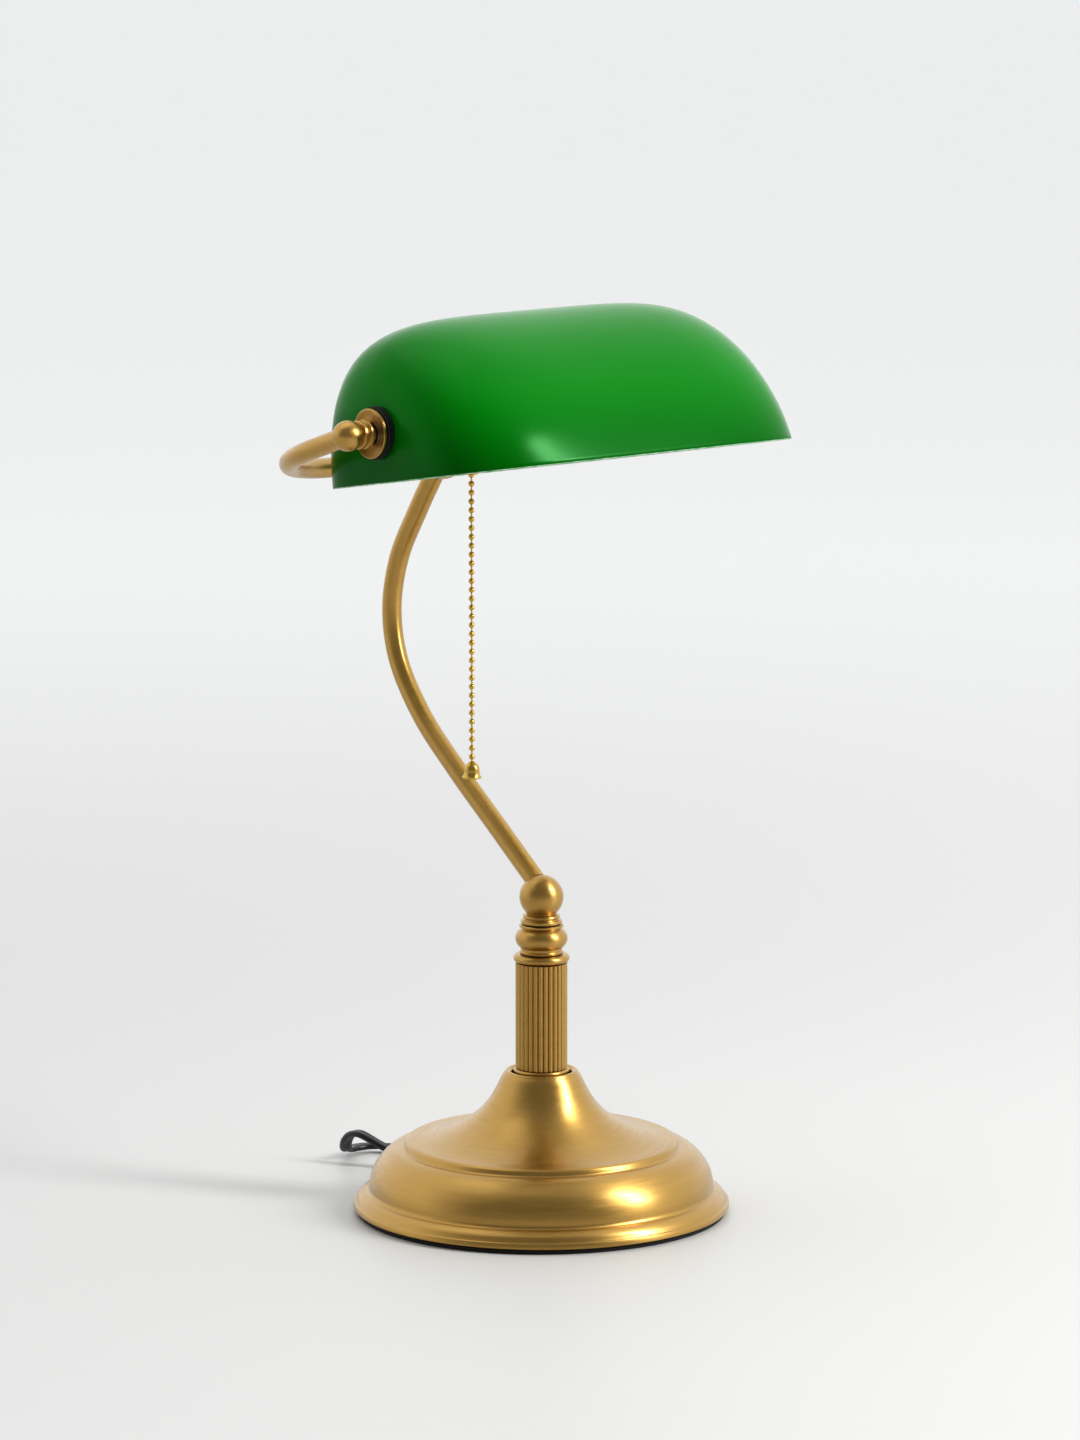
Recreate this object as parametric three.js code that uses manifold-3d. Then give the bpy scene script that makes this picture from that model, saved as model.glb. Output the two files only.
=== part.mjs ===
// A banker's desk lamp: spun brass base, reeded column, S-shaped stem, a yoke of two bent arms,
// and a glass shade that tilts between the ends of the yoke. Millimetres, +Z up.
// The origin is the centre of the base on the surface that the lamp stands on.
// +Y points to the back of the lamp, +X to the right-hand end of the shade seen from the front.

import * as THREE from 'three';
import { mergeVertices } from 'three/addons/utils/BufferGeometryUtils.js';
import Module from 'manifold-3d';

const wasm = await Module();
wasm.setup();

// ---------------------------------------------------------------- driving dimensions

const GAP = 0.3; // between faces that touch
const RUNNING_GAP = 0.5; // around a shaft that its piece turns on

// base
const FOOT_RADIUS = 94.2;
const FOOT_BAND = 3.6; // height of the upright band of the foot
const FOOT_LEDGE = 7.6; // how far the dome stands in from the band
const STEP_RADIUS = 68;
const STEP_HEIGHT = 36.6;
const STEP_DROP = 3.4; // from the plate down to the top of the dome
const NECK_RADIUS = 17.8;
const NECK_HEIGHT = 72.2;
const SHELL_WALL = 1.3;
const PAD_THICKNESS = 2;
const PAD_INSET = 1.6; // how far the pad stands in from the band
const WEIGHT_THICKNESS = 13;
const WEIGHT_RECESS_RADIUS = 19;
const WEIGHT_RECESS_DEPTH = 8;

// column
const ROD_RADIUS = 5;
const ROD_BORE = 3.6;
const ROD_TAIL = 7; // how much rod stands below the recess of the weight
const SEAT_RADIUS = 14.1;
const SEAT_HEIGHT = 2.6;
const SEAT_SINK = 1.6; // how deep the seat ring sits in the neck
const COLUMN_RADIUS = 13;
const COLUMN_LENGTH = 53.3;
const COLUMN_BORE = 10.6;
const REEDS = 30;
const REED_DEPTH = 0.75;
const CAP_RING_RADIUS = 14.1;
const CAP_RING_HEIGHT = 4.4;
const BUN_RADIUS = 13.1;
const BUN_HEIGHT = 14.6;
const BUN_FOOT_RADIUS = 10.9;
const COLLAR_RADIUS = 10.3;
const COLLAR_HEIGHT = 5.6;
const BALL_RADIUS = 11.05;
const BALL_SINK = 2.2; // how deep the ball sits in its collar

// stem and yoke
const TUBE_RADIUS = 5;
const TUBE_WALL = 1;
const STEM_SHIFT = 1.6; // how far the stem's lower end sits above the centre of the ball
const STEM_REACH = [34, 66, 95, 113.5, 118.3, 112.5, 97]; // how far back the stem goes, from low to high
const STEM_RISE = [26.2, 50.8, 76.1, 102.6, 127.6, 153.6, 180.1]; // above the stem's lower end
const JUNCTION_BACK = 77;
const JUNCTION_RISE = 209.6; // from the stem's lower end to the centre of the junction ball
const JUNCTION_RADIUS = 11.8;
const PIVOT_FRONT = 11; // how far the tilt axis lies in front of the column
const PIVOT_RISE = 29; // from the junction ball up to the tilt axis
const YOKE_BEND = 66;
const END_BALL_RADIUS = 7.6;
const NECK_LENGTH = 12.4; // from the centre of an end ball to the washer
const NECK_RING_RADIUS = 7.1;

// shade
const SHADE_LENGTH = 225;
const SHADE_FRONT = 82.9; // from the crown line to the front rim, measured along the rim's plane
const SHADE_BACK = 51.3;
const SHADE_HEIGHT = 77.3; // from the rim up to the crown
const SHADE_SKIRT = 10.6; // how far the walls are cut off above their widest level
const SHADE_GLASS = 4;
const SHADE_TILT = 9.8; // degrees, front edge up
const PIVOT_ABOVE_RIM = 24.5;
const PIVOT_BEHIND_FRONT = 73.7;
const END_ROUNDING = 4.8; // exponent of the rounded ends
const FRONT_ROUNDING = 1.7; // exponent of the front slope
const BACK_ROUNDING = 2.5; // exponent of the back wall

// pivots
const NIPPLE_RADIUS = 4.8;
const NIPPLE_BORE = 3.2;
const WASHER_RADIUS = 12.2;
const WASHER_THICKNESS = 2;
const GASKET_RADIUS = 12.9;
const GASKET_THICKNESS = 2.4;
const PIVOT_NUT_ACROSS = 14;
const PIVOT_NUT_THICKNESS = 4.5;
const NIPPLE_TAIL = 6; // thread that stands inside the nut

// lampholder and bulb, which lie along the tilt axis
const HOLDER_RADIUS = 17;
const HOLDER_WALL = 0.8;
const HOLDER_CAP_LENGTH = 12;
const HOLDER_SHELL_LENGTH = 58;
const LINER_WALL = 0.7;
const SWITCH_LENGTH = 33;
const SCREW_RADIUS = 14;
const SCREW_WALL = 0.5;
const SCREW_LENGTH = 22;
const BULB_CAP_RADIUS = 13;
const BULB_RADIUS = 15;
const BULB_LENGTH = 92;
const BULB_WALL = 1;

// pull chain
const CHAIN_PLACE = 28; // from the holder cap's rim to the chain
const GUIDE_RADIUS = 4;
const GUIDE_LENGTH = 8;
const BEAD_RADIUS = 1.5;
const BEAD_PITCH = 4.35;
const LINK_RADIUS = 0.45;
const STUB_BEADS = 4;
const UPPER_BEADS = 15;
const LOWER_BEADS = 17;
const BELL_LENGTH = 8.6;
const BELL_RADIUS = 3.7;
const BELL_RIM_RADIUS = 4.8;

// flat twin cord
const CORD_WIDTH = 6.4;
const CORD_THICKNESS = 3.3;
const CORD_EXIT_HEIGHT = 8;
const RELIEF_LENGTH = 17; // outside the base
const RELIEF_RADIUS = 4.9;
const RELIEF_TIP_RADIUS = 3.9;
const CORD_RUN = [
  [0, 113.5, 8.1], [-1.4, 117, 8.8], [-4.8, 123, 11.6], [-8, 128, 14.6], [-10.4, 133.5, 16.7],
  [-11.4, 138.5, 15.9], [-11, 143, 12.5], [-9.2, 146.8, 8.4], [-6, 150.4, 5.2], [-1.4, 153.4, 3.8],
  [4.4, 154.6, 3.5], [10.2, 153.4, 3.5], [15, 149.8, 3.5], [18.8, 144.2, 3.5], [22.2, 136, 3.5],
  [26.5, 126.5, 3.5], [31.5, 117.5, 3.6], [38, 107.9, 3.6], [42.5, 101.2, 3.6],
];
const COIL_CENTRE = [91.9, 109.5];
const COIL_OUTER = 47.2;
const COIL_INNER = 18.8;
const COIL_LIFT = 0.4;
const COIL_TOP = COIL_LIFT + CORD_WIDTH; // the turns stand on edge
const TAIL_END_HEIGHT = 6;
const CORD_TAIL = [
  [116.8, 109.6, COIL_TOP + 3], [119.8, 116.2, COIL_TOP + 3.1], [122.6, 124.3, COIL_TOP + 3.1],
  [125.5, 132.3, COIL_TOP + 3.1], [128.3, 139.1, COIL_TOP + 2.6], [131.2, 144.5, COIL_TOP + 1.4],
  [134.6, 149.5, COIL_TOP - 0.2], [138.5, 154.1, TAIL_END_HEIGHT], [142, 158.4, TAIL_END_HEIGHT],
];
const PLUG_LENGTH = 24;
const PLUG_WIDTH = 24;
const PLUG_THICKNESS = 12;
const BLADE_LENGTH = 16;
const BLADE_WIDTH = 6.3;
const BLADE_THICKNESS = 1.5;
const BLADE_SPACING = 12.7;

// ---------------------------------------------------------------- places that follow from them

const shellBottom = PAD_THICKNESS + GAP;
const weightBottom = PAD_THICKNESS + GAP;
const seatBottom = NECK_HEIGHT - SEAT_SINK;
const columnBottom = seatBottom + SEAT_HEIGHT + GAP;
const capRingBottom = columnBottom + COLUMN_LENGTH + GAP;
const bunBottom = capRingBottom + CAP_RING_HEIGHT + GAP;
const collarBottom = bunBottom + BUN_HEIGHT + GAP;
const ballHeight = collarBottom + COLLAR_HEIGHT - BALL_SINK + BALL_RADIUS - 1;
const stemFoot = ballHeight + STEM_SHIFT + 2.6;
const junction = new THREE.Vector3(0, JUNCTION_BACK, stemFoot + JUNCTION_RISE);
const pivotHeight = junction.z + PIVOT_RISE;
const crownRise = SHADE_HEIGHT + SHADE_SKIRT;
const pivotLocalZ = SHADE_SKIRT + PIVOT_ABOVE_RIM;
const pivotLocalY = PIVOT_BEHIND_FRONT - SHADE_FRONT;
const glassEnd = SHADE_LENGTH / 2;
const outerGasketFace = glassEnd + GAP;
const outerWasherFace = outerGasketFace + GASKET_THICKNESS + GAP;
const endBallX = outerWasherFace + WASHER_THICKNESS + GAP + NECK_LENGTH;
const innerGasketFace = glassEnd - SHADE_GLASS - innerDrop() - GAP;
const innerWasherFace = innerGasketFace - GASKET_THICKNESS - GAP;
const nutFace = innerWasherFace - WASHER_THICKNESS - GAP;
const nippleEnd = nutFace - PIVOT_NUT_THICKNESS - NIPPLE_TAIL;
const holderCapEnd = nutFace - PIVOT_NUT_THICKNESS - 1.5;
const holderShellStart = -(holderCapEnd - HOLDER_CAP_LENGTH);
const holderShellEnd = holderShellStart + HOLDER_SHELL_LENGTH;
const chainX = holderShellStart + CHAIN_PLACE;

// How far the end wall of the glass falls back at the corner of a gasket above and in front of the pivot.
function innerDrop() {
  const level = (pivotLocalZ + GASKET_RADIUS) / (crownRise - SHADE_GLASS);
  const forward = (GASKET_RADIUS - pivotLocalY) / (SHADE_FRONT - SHADE_GLASS);
  const share = (level ** FRONT_ROUNDING + forward ** FRONT_ROUNDING) ** (1 / FRONT_ROUNDING);
  return (glassEnd - SHADE_GLASS) * (1 - (1 - share ** END_ROUNDING) ** (1 / END_ROUNDING));
}

// ---------------------------------------------------------------- finishes

const finish = (color, roughness, metalness) =>
  new THREE.MeshStandardMaterial({ color, roughness, metalness });
const brass = finish('#b98f45', 0.32, 1);
const brightBrass = finish('#d8b04e', 0.2, 1);
const steel = finish('#8d9092', 0.4, 1);
const iron = finish('#3b3c3e', 0.8, 0.6);
const rubber = finish('#161616', 0.7, 0);
const vinyl = finish('#111213', 0.45, 0);
const greenGlass = finish('#0a6b1c', 0.08, 0);
const phenolic = finish('#1f1a16', 0.5, 0);
const board = finish('#8b6f4a', 0.9, 0);
const opalGlass = finish('#f4f1e8', 0.3, 0);
const aluminium = finish('#b9bbbd', 0.35, 1);

// ---------------------------------------------------------------- shape tools

// Shared vertices merged, empty triangles dropped, faces turned outwards.
function weld(geometry) {
  const bare = new THREE.BufferGeometry();
  bare.setAttribute('position', geometry.getAttribute('position').clone());
  if (geometry.index) bare.setIndex(geometry.index.clone());
  const merged = mergeVertices(bare, 1e-4);
  const corners = merged.getAttribute('position');
  const index = merged.index.array;
  const kept = [];
  let volume = 0;
  const [a, b, c] = [new THREE.Vector3(), new THREE.Vector3(), new THREE.Vector3()];
  for (let i = 0; i < index.length; i += 3) {
    const [p, q, r] = [index[i], index[i + 1], index[i + 2]];
    if (p === q || q === r || r === p) continue;
    kept.push(p, q, r);
    a.fromBufferAttribute(corners, p);
    b.fromBufferAttribute(corners, q);
    c.fromBufferAttribute(corners, r);
    volume += a.dot(b.cross(c));
  }
  if (volume < 0) kept.reverse();
  merged.setIndex(kept);
  return merged;
}

function toSolid(geometry) {
  const welded = weld(geometry);
  return new wasm.Manifold(new wasm.Mesh({
    numProp: 3,
    vertProperties: new Float32Array(welded.getAttribute('position').array),
    triVerts: new Uint32Array(welded.index.array),
  }));
}

function toGeometry(solid) {
  const mesh = solid.getMesh();
  const geometry = new THREE.BufferGeometry();
  geometry.setAttribute('position', new THREE.BufferAttribute(new Float32Array(mesh.vertProperties), 3));
  geometry.setIndex(Array.from(mesh.triVerts));
  return geometry;
}

// The first geometry with all the others taken out of it.
function cut(geometry, ...tools) {
  let solid = toSolid(geometry);
  for (const tool of tools) solid = solid.subtract(toSolid(tool));
  return toGeometry(solid);
}

// What the first geometry shares with the second.
function keep(geometry, tool) {
  return toGeometry(toSolid(geometry).intersect(toSolid(tool)));
}

// A body turned about Z from [radius, height] points.
function turned(points, segments = 32) {
  const geometry = new THREE.LatheGeometry(points.map(([r, z]) => new THREE.Vector2(r, z)), segments);
  return weld(geometry.rotateX(Math.PI / 2));
}

// A ring turned about Z: a closed outline of [radius, height] points.
function turnedRing(points, segments = 32) {
  return turned([...points, points[0]], segments);
}

// The same body turned about X: heights become distances along +X.
const layAlongX = (geometry) => geometry.rotateY(Math.PI / 2);

// The same body at the lamp's left or right end.
const toSide = (side, geometry) => (side > 0 ? geometry : weld(geometry.scale(-1, 1, 1)));

function tubeRing(outer, inner, low, high, segments = 32) {
  return turnedRing([[inner, low], [outer, low], [outer, high], [inner, high]], segments);
}

// A straight round tool from one point to another, for drilling.
function drill(from, to, radius, segments = 18) {
  const start = new THREE.Vector3(...from);
  const way = new THREE.Vector3(...to).sub(start);
  const geometry = new THREE.CylinderGeometry(radius, radius, way.length(), segments);
  geometry.translate(0, way.length() / 2, 0);
  const turn = new THREE.Quaternion().setFromUnitVectors(new THREE.Vector3(0, 1, 0), way.normalize());
  return geometry.applyQuaternion(turn).translate(start.x, start.y, start.z);
}

// Points on an arc in an outline, from one angle to another in degrees.
function arc(centreR, centreZ, radiusR, radiusZ, from, to, steps) {
  const points = [];
  for (let i = 0; i <= steps; i += 1) {
    const angle = THREE.MathUtils.degToRad(from + ((to - from) * i) / steps);
    points.push([centreR + radiusR * Math.cos(angle), centreZ + radiusZ * Math.sin(angle)]);
  }
  return points;
}

// An outline moved sideways by a distance, to its left as its points are followed.
function offset(points, distance) {
  return points.map((point, i) => {
    const before = points[Math.max(i - 1, 0)];
    const after = points[Math.min(i + 1, points.length - 1)];
    const [dr, dz] = [after[0] - before[0], after[1] - before[1]];
    const length = Math.hypot(dr, dz);
    return [point[0] - (dz / length) * distance, point[1] + (dr / length) * distance];
  });
}

function circleShape(radius, sides) {
  const corners = [];
  for (let i = 0; i < sides; i += 1) {
    const angle = (i * 2 * Math.PI) / sides;
    corners.push(new THREE.Vector2(radius * Math.cos(angle), radius * Math.sin(angle)));
  }
  return new THREE.Shape(corners);
}

// A hollow tube of the lamp's own size along a curve.
function bentTube(curve, steps) {
  const section = circleShape(TUBE_RADIUS, 14);
  section.holes.push(new THREE.Path(circleShape(TUBE_RADIUS - TUBE_WALL, 10).getPoints().reverse()));
  return weld(new THREE.ExtrudeGeometry(section, { steps, extrudePath: curve, bevelEnabled: false }));
}

const lamp = new THREE.Group();

function add(parent, name, geometry, material) {
  const mesh = new THREE.Mesh(geometry, material);
  mesh.name = name;
  parent.add(mesh);
  return mesh;
}

// ---------------------------------------------------------------- base

// The outside of the spun shell, from the foot up to the mouth of the neck.
function shellOutline() {
  const domeRadius = FOOT_RADIUS - FOOT_LEDGE;
  const grooveRadius = STEP_RADIUS + 3.4;
  const domeFoot = shellBottom + FOOT_BAND + 5.6;
  const domeTop = STEP_HEIGHT - STEP_DROP;
  const sweepRadius = STEP_RADIUS - 2.5;
  const sweep = [];
  for (let i = 0; i <= 9; i += 1) {
    const angle = (i / 9) * (Math.PI / 2);
    const reach = Math.sin(angle) ** (2 / 1.6);
    const drop = Math.cos(angle) ** (2 / 1.6);
    sweep.push([
      sweepRadius - (sweepRadius - NECK_RADIUS) * reach,
      NECK_HEIGHT - 1.6 - (NECK_HEIGHT - 1.6 - STEP_HEIGHT) * drop,
    ]);
  }
  return [
    [FOOT_RADIUS, shellBottom],
    [FOOT_RADIUS, shellBottom + FOOT_BAND],
    [FOOT_RADIUS - 0.9, shellBottom + FOOT_BAND + 0.6],
    [FOOT_RADIUS - 3.4, shellBottom + FOOT_BAND + 2.6],
    [domeRadius + 1, domeFoot - 1.2],
    ...arc(grooveRadius, domeFoot, domeRadius - grooveRadius, domeTop - domeFoot, 0, 90, 6),
    [grooveRadius - 2, domeTop + 0.3],
    [STEP_RADIUS + 0.4, STEP_HEIGHT - 1],
    [STEP_RADIUS - 0.8, STEP_HEIGHT - 0.1],
    ...sweep,
    [NECK_RADIUS - 0.6, NECK_HEIGHT - 0.4],
  ];
}

const outline = shellOutline();
const inside = offset(outline, SHELL_WALL).filter((point, i) => i % 2 === 1);
const innerMouth = SEAT_RADIUS + RUNNING_GAP;
const shellRing = [
  ...outline,
  [NECK_RADIUS - 1.6, NECK_HEIGHT],
  [innerMouth, NECK_HEIGHT],
  [innerMouth, NECK_HEIGHT - SHELL_WALL],
  ...inside.slice(0, -1).reverse(),
  [FOOT_RADIUS - SHELL_WALL, shellBottom],
];
const exitY = FOOT_RADIUS;
const cordHole = drill([0, FOOT_RADIUS - 20, CORD_EXIT_HEIGHT], [0, FOOT_RADIUS + 5, CORD_EXIT_HEIGHT], 4.4);
add(lamp, 'base_shell', cut(turnedRing(shellRing, 40), cordHole), brass);

const padRadius = FOOT_RADIUS - PAD_INSET;
add(lamp, 'foot_pad', turned([[0, 0], [padRadius, 0], [padRadius, PAD_THICKNESS], [0, PAD_THICKNESS]], 40), rubber);

const weightRadius = FOOT_RADIUS - FOOT_LEDGE - SHELL_WALL - 1.2;
const weightTop = weightBottom + WEIGHT_THICKNESS;
const recessTop = weightBottom + WEIGHT_RECESS_DEPTH;
const weightBlank = turnedRing([
  [WEIGHT_RECESS_RADIUS, weightBottom],
  [weightRadius, weightBottom],
  [weightRadius, weightTop - 3],
  [weightRadius - 4, weightTop],
  [ROD_RADIUS + GAP, weightTop],
  [ROD_RADIUS + GAP, recessTop],
  [WEIGHT_RECESS_RADIUS, recessTop],
], 40);
const cordSlot = new THREE.BoxGeometry(CORD_WIDTH + 6, weightRadius, WEIGHT_THICKNESS)
  .translate(0, WEIGHT_RECESS_RADIUS - 3 + weightRadius / 2, weightBottom + 1);
add(lamp, 'base_weight', cut(weightBlank, cordSlot), iron);

function hexRing(across, bore, thickness) {
  const shape = new THREE.Shape();
  for (let i = 0; i < 6; i += 1) {
    const angle = (i * Math.PI) / 3;
    const corner = across / 2 / Math.cos(Math.PI / 6);
    const place = [corner * Math.cos(angle), corner * Math.sin(angle)];
    if (i === 0) shape.moveTo(...place);
    else shape.lineTo(...place);
  }
  shape.closePath();
  shape.holes.push(new THREE.Path(circleShape(bore, 20).getPoints().reverse()));
  return weld(new THREE.ExtrudeGeometry(shape, { depth: thickness, bevelEnabled: false }));
}

const rodWasherBottom = recessTop - GAP - 1.2;
const rodNutBottom = rodWasherBottom - GAP - 4;
add(lamp, 'rod_washer', tubeRing(13, ROD_RADIUS + GAP, rodWasherBottom, recessTop - GAP, 24), steel);
add(lamp, 'rod_nut', hexRing(17, ROD_RADIUS + GAP, 4).translate(0, 0, rodNutBottom), steel);
const rodBottom = recessTop - ROD_TAIL;
const rodTop = collarBottom + COLLAR_HEIGHT;
add(lamp, 'threaded_rod', tubeRing(ROD_RADIUS, ROD_BORE, rodBottom, rodTop, 20), steel);

// ---------------------------------------------------------------- column

const rodHole = ROD_RADIUS + GAP;
add(lamp, 'column_seat', turnedRing([
  [rodHole, seatBottom],
  [SEAT_RADIUS - 0.5, seatBottom],
  [SEAT_RADIUS, seatBottom + 0.6],
  [SEAT_RADIUS, seatBottom + SEAT_HEIGHT - 0.6],
  [SEAT_RADIUS - 0.6, seatBottom + SEAT_HEIGHT],
  [rodHole, seatBottom + SEAT_HEIGHT],
], 36), brass);

const reedOutline = [];
for (let i = 0; i < REEDS; i += 1) {
  const pitch = (2 * Math.PI) / REEDS;
  for (const [share, depth] of [[0, 1], [0.16, 0.35], [0.5, 0], [0.84, 0.35]]) {
    const angle = (i + share) * pitch;
    const radius = COLUMN_RADIUS - REED_DEPTH * depth;
    reedOutline.push(new THREE.Vector2(radius * Math.cos(angle), radius * Math.sin(angle)));
  }
}
const reedShape = new THREE.Shape(reedOutline);
reedShape.holes.push(new THREE.Path(circleShape(COLUMN_BORE, 24).getPoints().reverse()));
const reeded = new THREE.ExtrudeGeometry(reedShape, { depth: COLUMN_LENGTH, bevelEnabled: false });
add(lamp, 'reeded_column', weld(reeded.translate(0, 0, columnBottom)), brass);

add(lamp, 'column_cap_ring', turnedRing([
  [rodHole, capRingBottom],
  ...arc(CAP_RING_RADIUS - 2, capRingBottom + CAP_RING_HEIGHT / 2, 2, CAP_RING_HEIGHT / 2, -90, 90, 6),
  [rodHole, capRingBottom + CAP_RING_HEIGHT],
], 36), brass);

const bunMiddle = bunBottom + 7.4;
const lipTop = bunBottom + BUN_HEIGHT;
add(lamp, 'column_bun', turnedRing([
  [rodHole, bunBottom],
  [BUN_FOOT_RADIUS, bunBottom],
  [BUN_FOOT_RADIUS - 0.5, bunBottom + 1.2],
  ...arc(BUN_RADIUS - 5.4, bunMiddle, 5.4, 5.2, -58, 58, 6),
  [COLLAR_RADIUS + 0.4, lipTop - 1.7],
  [COLLAR_RADIUS + 0.8, lipTop - 0.9],
  [COLLAR_RADIUS + 0.4, lipTop],
  [rodHole, lipTop],
], 36), brass);

// ---------------------------------------------------------------- stem

const stemStart = new THREE.Vector3(0, 4, stemFoot + 3.1);
const stemEnd = junction.clone().add(new THREE.Vector3(0, 2.2, -3.3));
const stemPoints = [stemStart];
STEM_REACH.forEach((y, i) => stemPoints.push(new THREE.Vector3(0, y, stemFoot + STEM_RISE[i])));
stemPoints.push(stemEnd);
const stemCurve = new THREE.CatmullRomCurve3(stemPoints, false, 'centripetal');
add(lamp, 'stem_tube', bentTube(stemCurve, 28), brass);

// A straight hole along a curve's end, to let its tube into a ball.
function socketFor(point, tangent, depth) {
  const from = point.clone().addScaledVector(tangent, -GAP);
  const to = point.clone().addScaledVector(tangent, depth);
  return drill(from.toArray(), to.toArray(), TUBE_RADIUS + GAP);
}

const collarTop = collarBottom + COLLAR_HEIGHT;
const ballProfile = [
  [0, collarBottom],
  [COLLAR_RADIUS - 0.3, collarBottom],
  [COLLAR_RADIUS, collarBottom + 0.8],
  [COLLAR_RADIUS, collarBottom + 1.6],
  [COLLAR_RADIUS - 1.5, collarBottom + 2.4],
  [COLLAR_RADIUS - 1.2, collarBottom + 3.2],
  [COLLAR_RADIUS - 1.1, collarTop - 1.2],
  [COLLAR_RADIUS - 2.2, collarTop - 0.3],
];
const ballStart = THREE.MathUtils.radToDeg(Math.asin((collarTop + 0.4 - ballHeight) / BALL_RADIUS));
const stemBall = turned([...ballProfile, ...arc(0, ballHeight, BALL_RADIUS, BALL_RADIUS, ballStart, 90, 9)], 26);
const stemSocket = socketFor(stemStart, stemCurve.getTangent(0), 20);
const rodSocket = drill([0, 0, collarBottom - 1], [0, 0, rodTop + GAP], ROD_RADIUS + GAP);
const wireWay = drill([0, 0, rodTop - 1], [0, 0.5, stemFoot + 1], ROD_BORE);
add(lamp, 'stem_ball', cut(stemBall, stemSocket, rodSocket, wireWay), brass);

// ---------------------------------------------------------------- yoke

const pivotY = -PIVOT_FRONT;
const armRun = new THREE.Vector3(0, junction.y - pivotY, junction.z - pivotHeight);
const armLength = armRun.length();
const armWay = armRun.clone().normalize();

// One arm: back from the end ball, round the bend, and in to the junction ball.
function armCurve(side) {
  const at = (x, along) => new THREE.Vector3(side * x, pivotY + armWay.y * along, pivotHeight + armWay.z * along);
  const path = new THREE.CurvePath();
  path.add(new THREE.LineCurve3(at(endBallX, END_BALL_RADIUS - 4), at(endBallX, armLength - YOKE_BEND)));
  const bend = [];
  for (let i = 0; i <= 8; i += 1) {
    const angle = (i / 8) * (Math.PI / 2);
    bend.push(at(
      endBallX - YOKE_BEND + YOKE_BEND * Math.cos(angle),
      armLength - YOKE_BEND + YOKE_BEND * Math.sin(angle),
    ));
  }
  for (let i = 0; i < 8; i += 1) path.add(new THREE.LineCurve3(bend[i], bend[i + 1]));
  path.add(new THREE.LineCurve3(at(endBallX - YOKE_BEND, armLength), at(JUNCTION_RADIUS - 5, armLength)));
  return path;
}

for (const [side, word] of [[-1, 'left'], [1, 'right']]) {
  const curve = armCurve(side);
  add(lamp, `yoke_arm_${word}`, bentTube(curve, 20), brass);
}

const junctionTools = [socketFor(stemEnd, stemCurve.getTangent(1).negate(), 20)];
for (const side of [-1, 1]) {
  junctionTools.push(drill(
    [side * (JUNCTION_RADIUS - 5 - GAP), junction.y, junction.z],
    [side * 20, junction.y, junction.z],
    TUBE_RADIUS + GAP,
  ));
}
junctionTools.push(drill(
  [5 - JUNCTION_RADIUS, junction.y, junction.z],
  [JUNCTION_RADIUS - 5, junction.y, junction.z],
  ROD_BORE,
));
const junctionBall = new THREE.SphereGeometry(JUNCTION_RADIUS, 22, 14)
  .translate(junction.x, junction.y, junction.z);
add(lamp, 'junction_ball', cut(junctionBall, ...junctionTools), brass);

// An end ball and its stepped neck, turned about X, drilled for the arm and for the nipple.
function endBall(side) {
  const neckEnd = NECK_LENGTH;
  const profile = [
    ...arc(0, 0, END_BALL_RADIUS, END_BALL_RADIUS, -90, 36, 8),
    [NECK_RING_RADIUS - 0.4, 5.2],
    [NECK_RING_RADIUS, 6],
    [NECK_RING_RADIUS, 7.4],
    [NECK_RING_RADIUS - 1, 8.2],
    [NECK_RING_RADIUS + 0.2, 9],
    [NECK_RING_RADIUS + 0.2, 10.8],
    [NECK_RING_RADIUS - 1.2, 11.6],
    [NECK_RING_RADIUS - 1.4, neckEnd],
    [0, neckEnd],
  ];
  const blank = layAlongX(turned(profile, 20));
  if (side > 0) blank.rotateZ(Math.PI);
  blank.translate(side * endBallX, pivotY, pivotHeight);
  const centre = [side * endBallX, pivotY, pivotHeight];
  const armEnd = [
    side * endBallX,
    pivotY + armWay.y * (END_BALL_RADIUS - 4 - GAP),
    pivotHeight + armWay.z * (END_BALL_RADIUS - 4 - GAP),
  ];
  const armFar = [side * endBallX, pivotY + armWay.y * 12, pivotHeight + armWay.z * 12];
  const wire = drill(centre, armEnd.map((value, i) => value + armWay.toArray()[i]), 2.6);
  const nippleWay = drill(centre, [side * (endBallX - 20), pivotY, pivotHeight], NIPPLE_RADIUS + GAP);
  return cut(blank, drill(armEnd, armFar, TUBE_RADIUS + GAP), wire, nippleWay);
}

for (const [side, word] of [[-1, 'left'], [1, 'right']]) {
  add(lamp, `end_ball_${word}`, endBall(side), brass);
  const nipple = tubeRing(NIPPLE_RADIUS, NIPPLE_BORE, nippleEnd, endBallX - TUBE_RADIUS - GAP, 20);
  add(lamp, `pivot_nipple_${word}`, toSide(side, layAlongX(nipple)).translate(0, pivotY, pivotHeight), steel);
  const nut = hexRing(PIVOT_NUT_ACROSS, NIPPLE_RADIUS + GAP, PIVOT_NUT_THICKNESS);
  nut.translate(0, 0, nutFace - PIVOT_NUT_THICKNESS);
  add(lamp, `pivot_nut_${word}`, toSide(side, layAlongX(nut)).translate(0, pivotY, pivotHeight), brass);
}

// ---------------------------------------------------------------- shade and the washers that turn with it

// Everything in this group is drawn about the tilt axis with the rim level, and then tipped.
const tilting = new THREE.Group();
tilting.position.set(0, pivotY, pivotHeight);
tilting.rotation.x = -THREE.MathUtils.degToRad(SHADE_TILT);
lamp.add(tilting);

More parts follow.
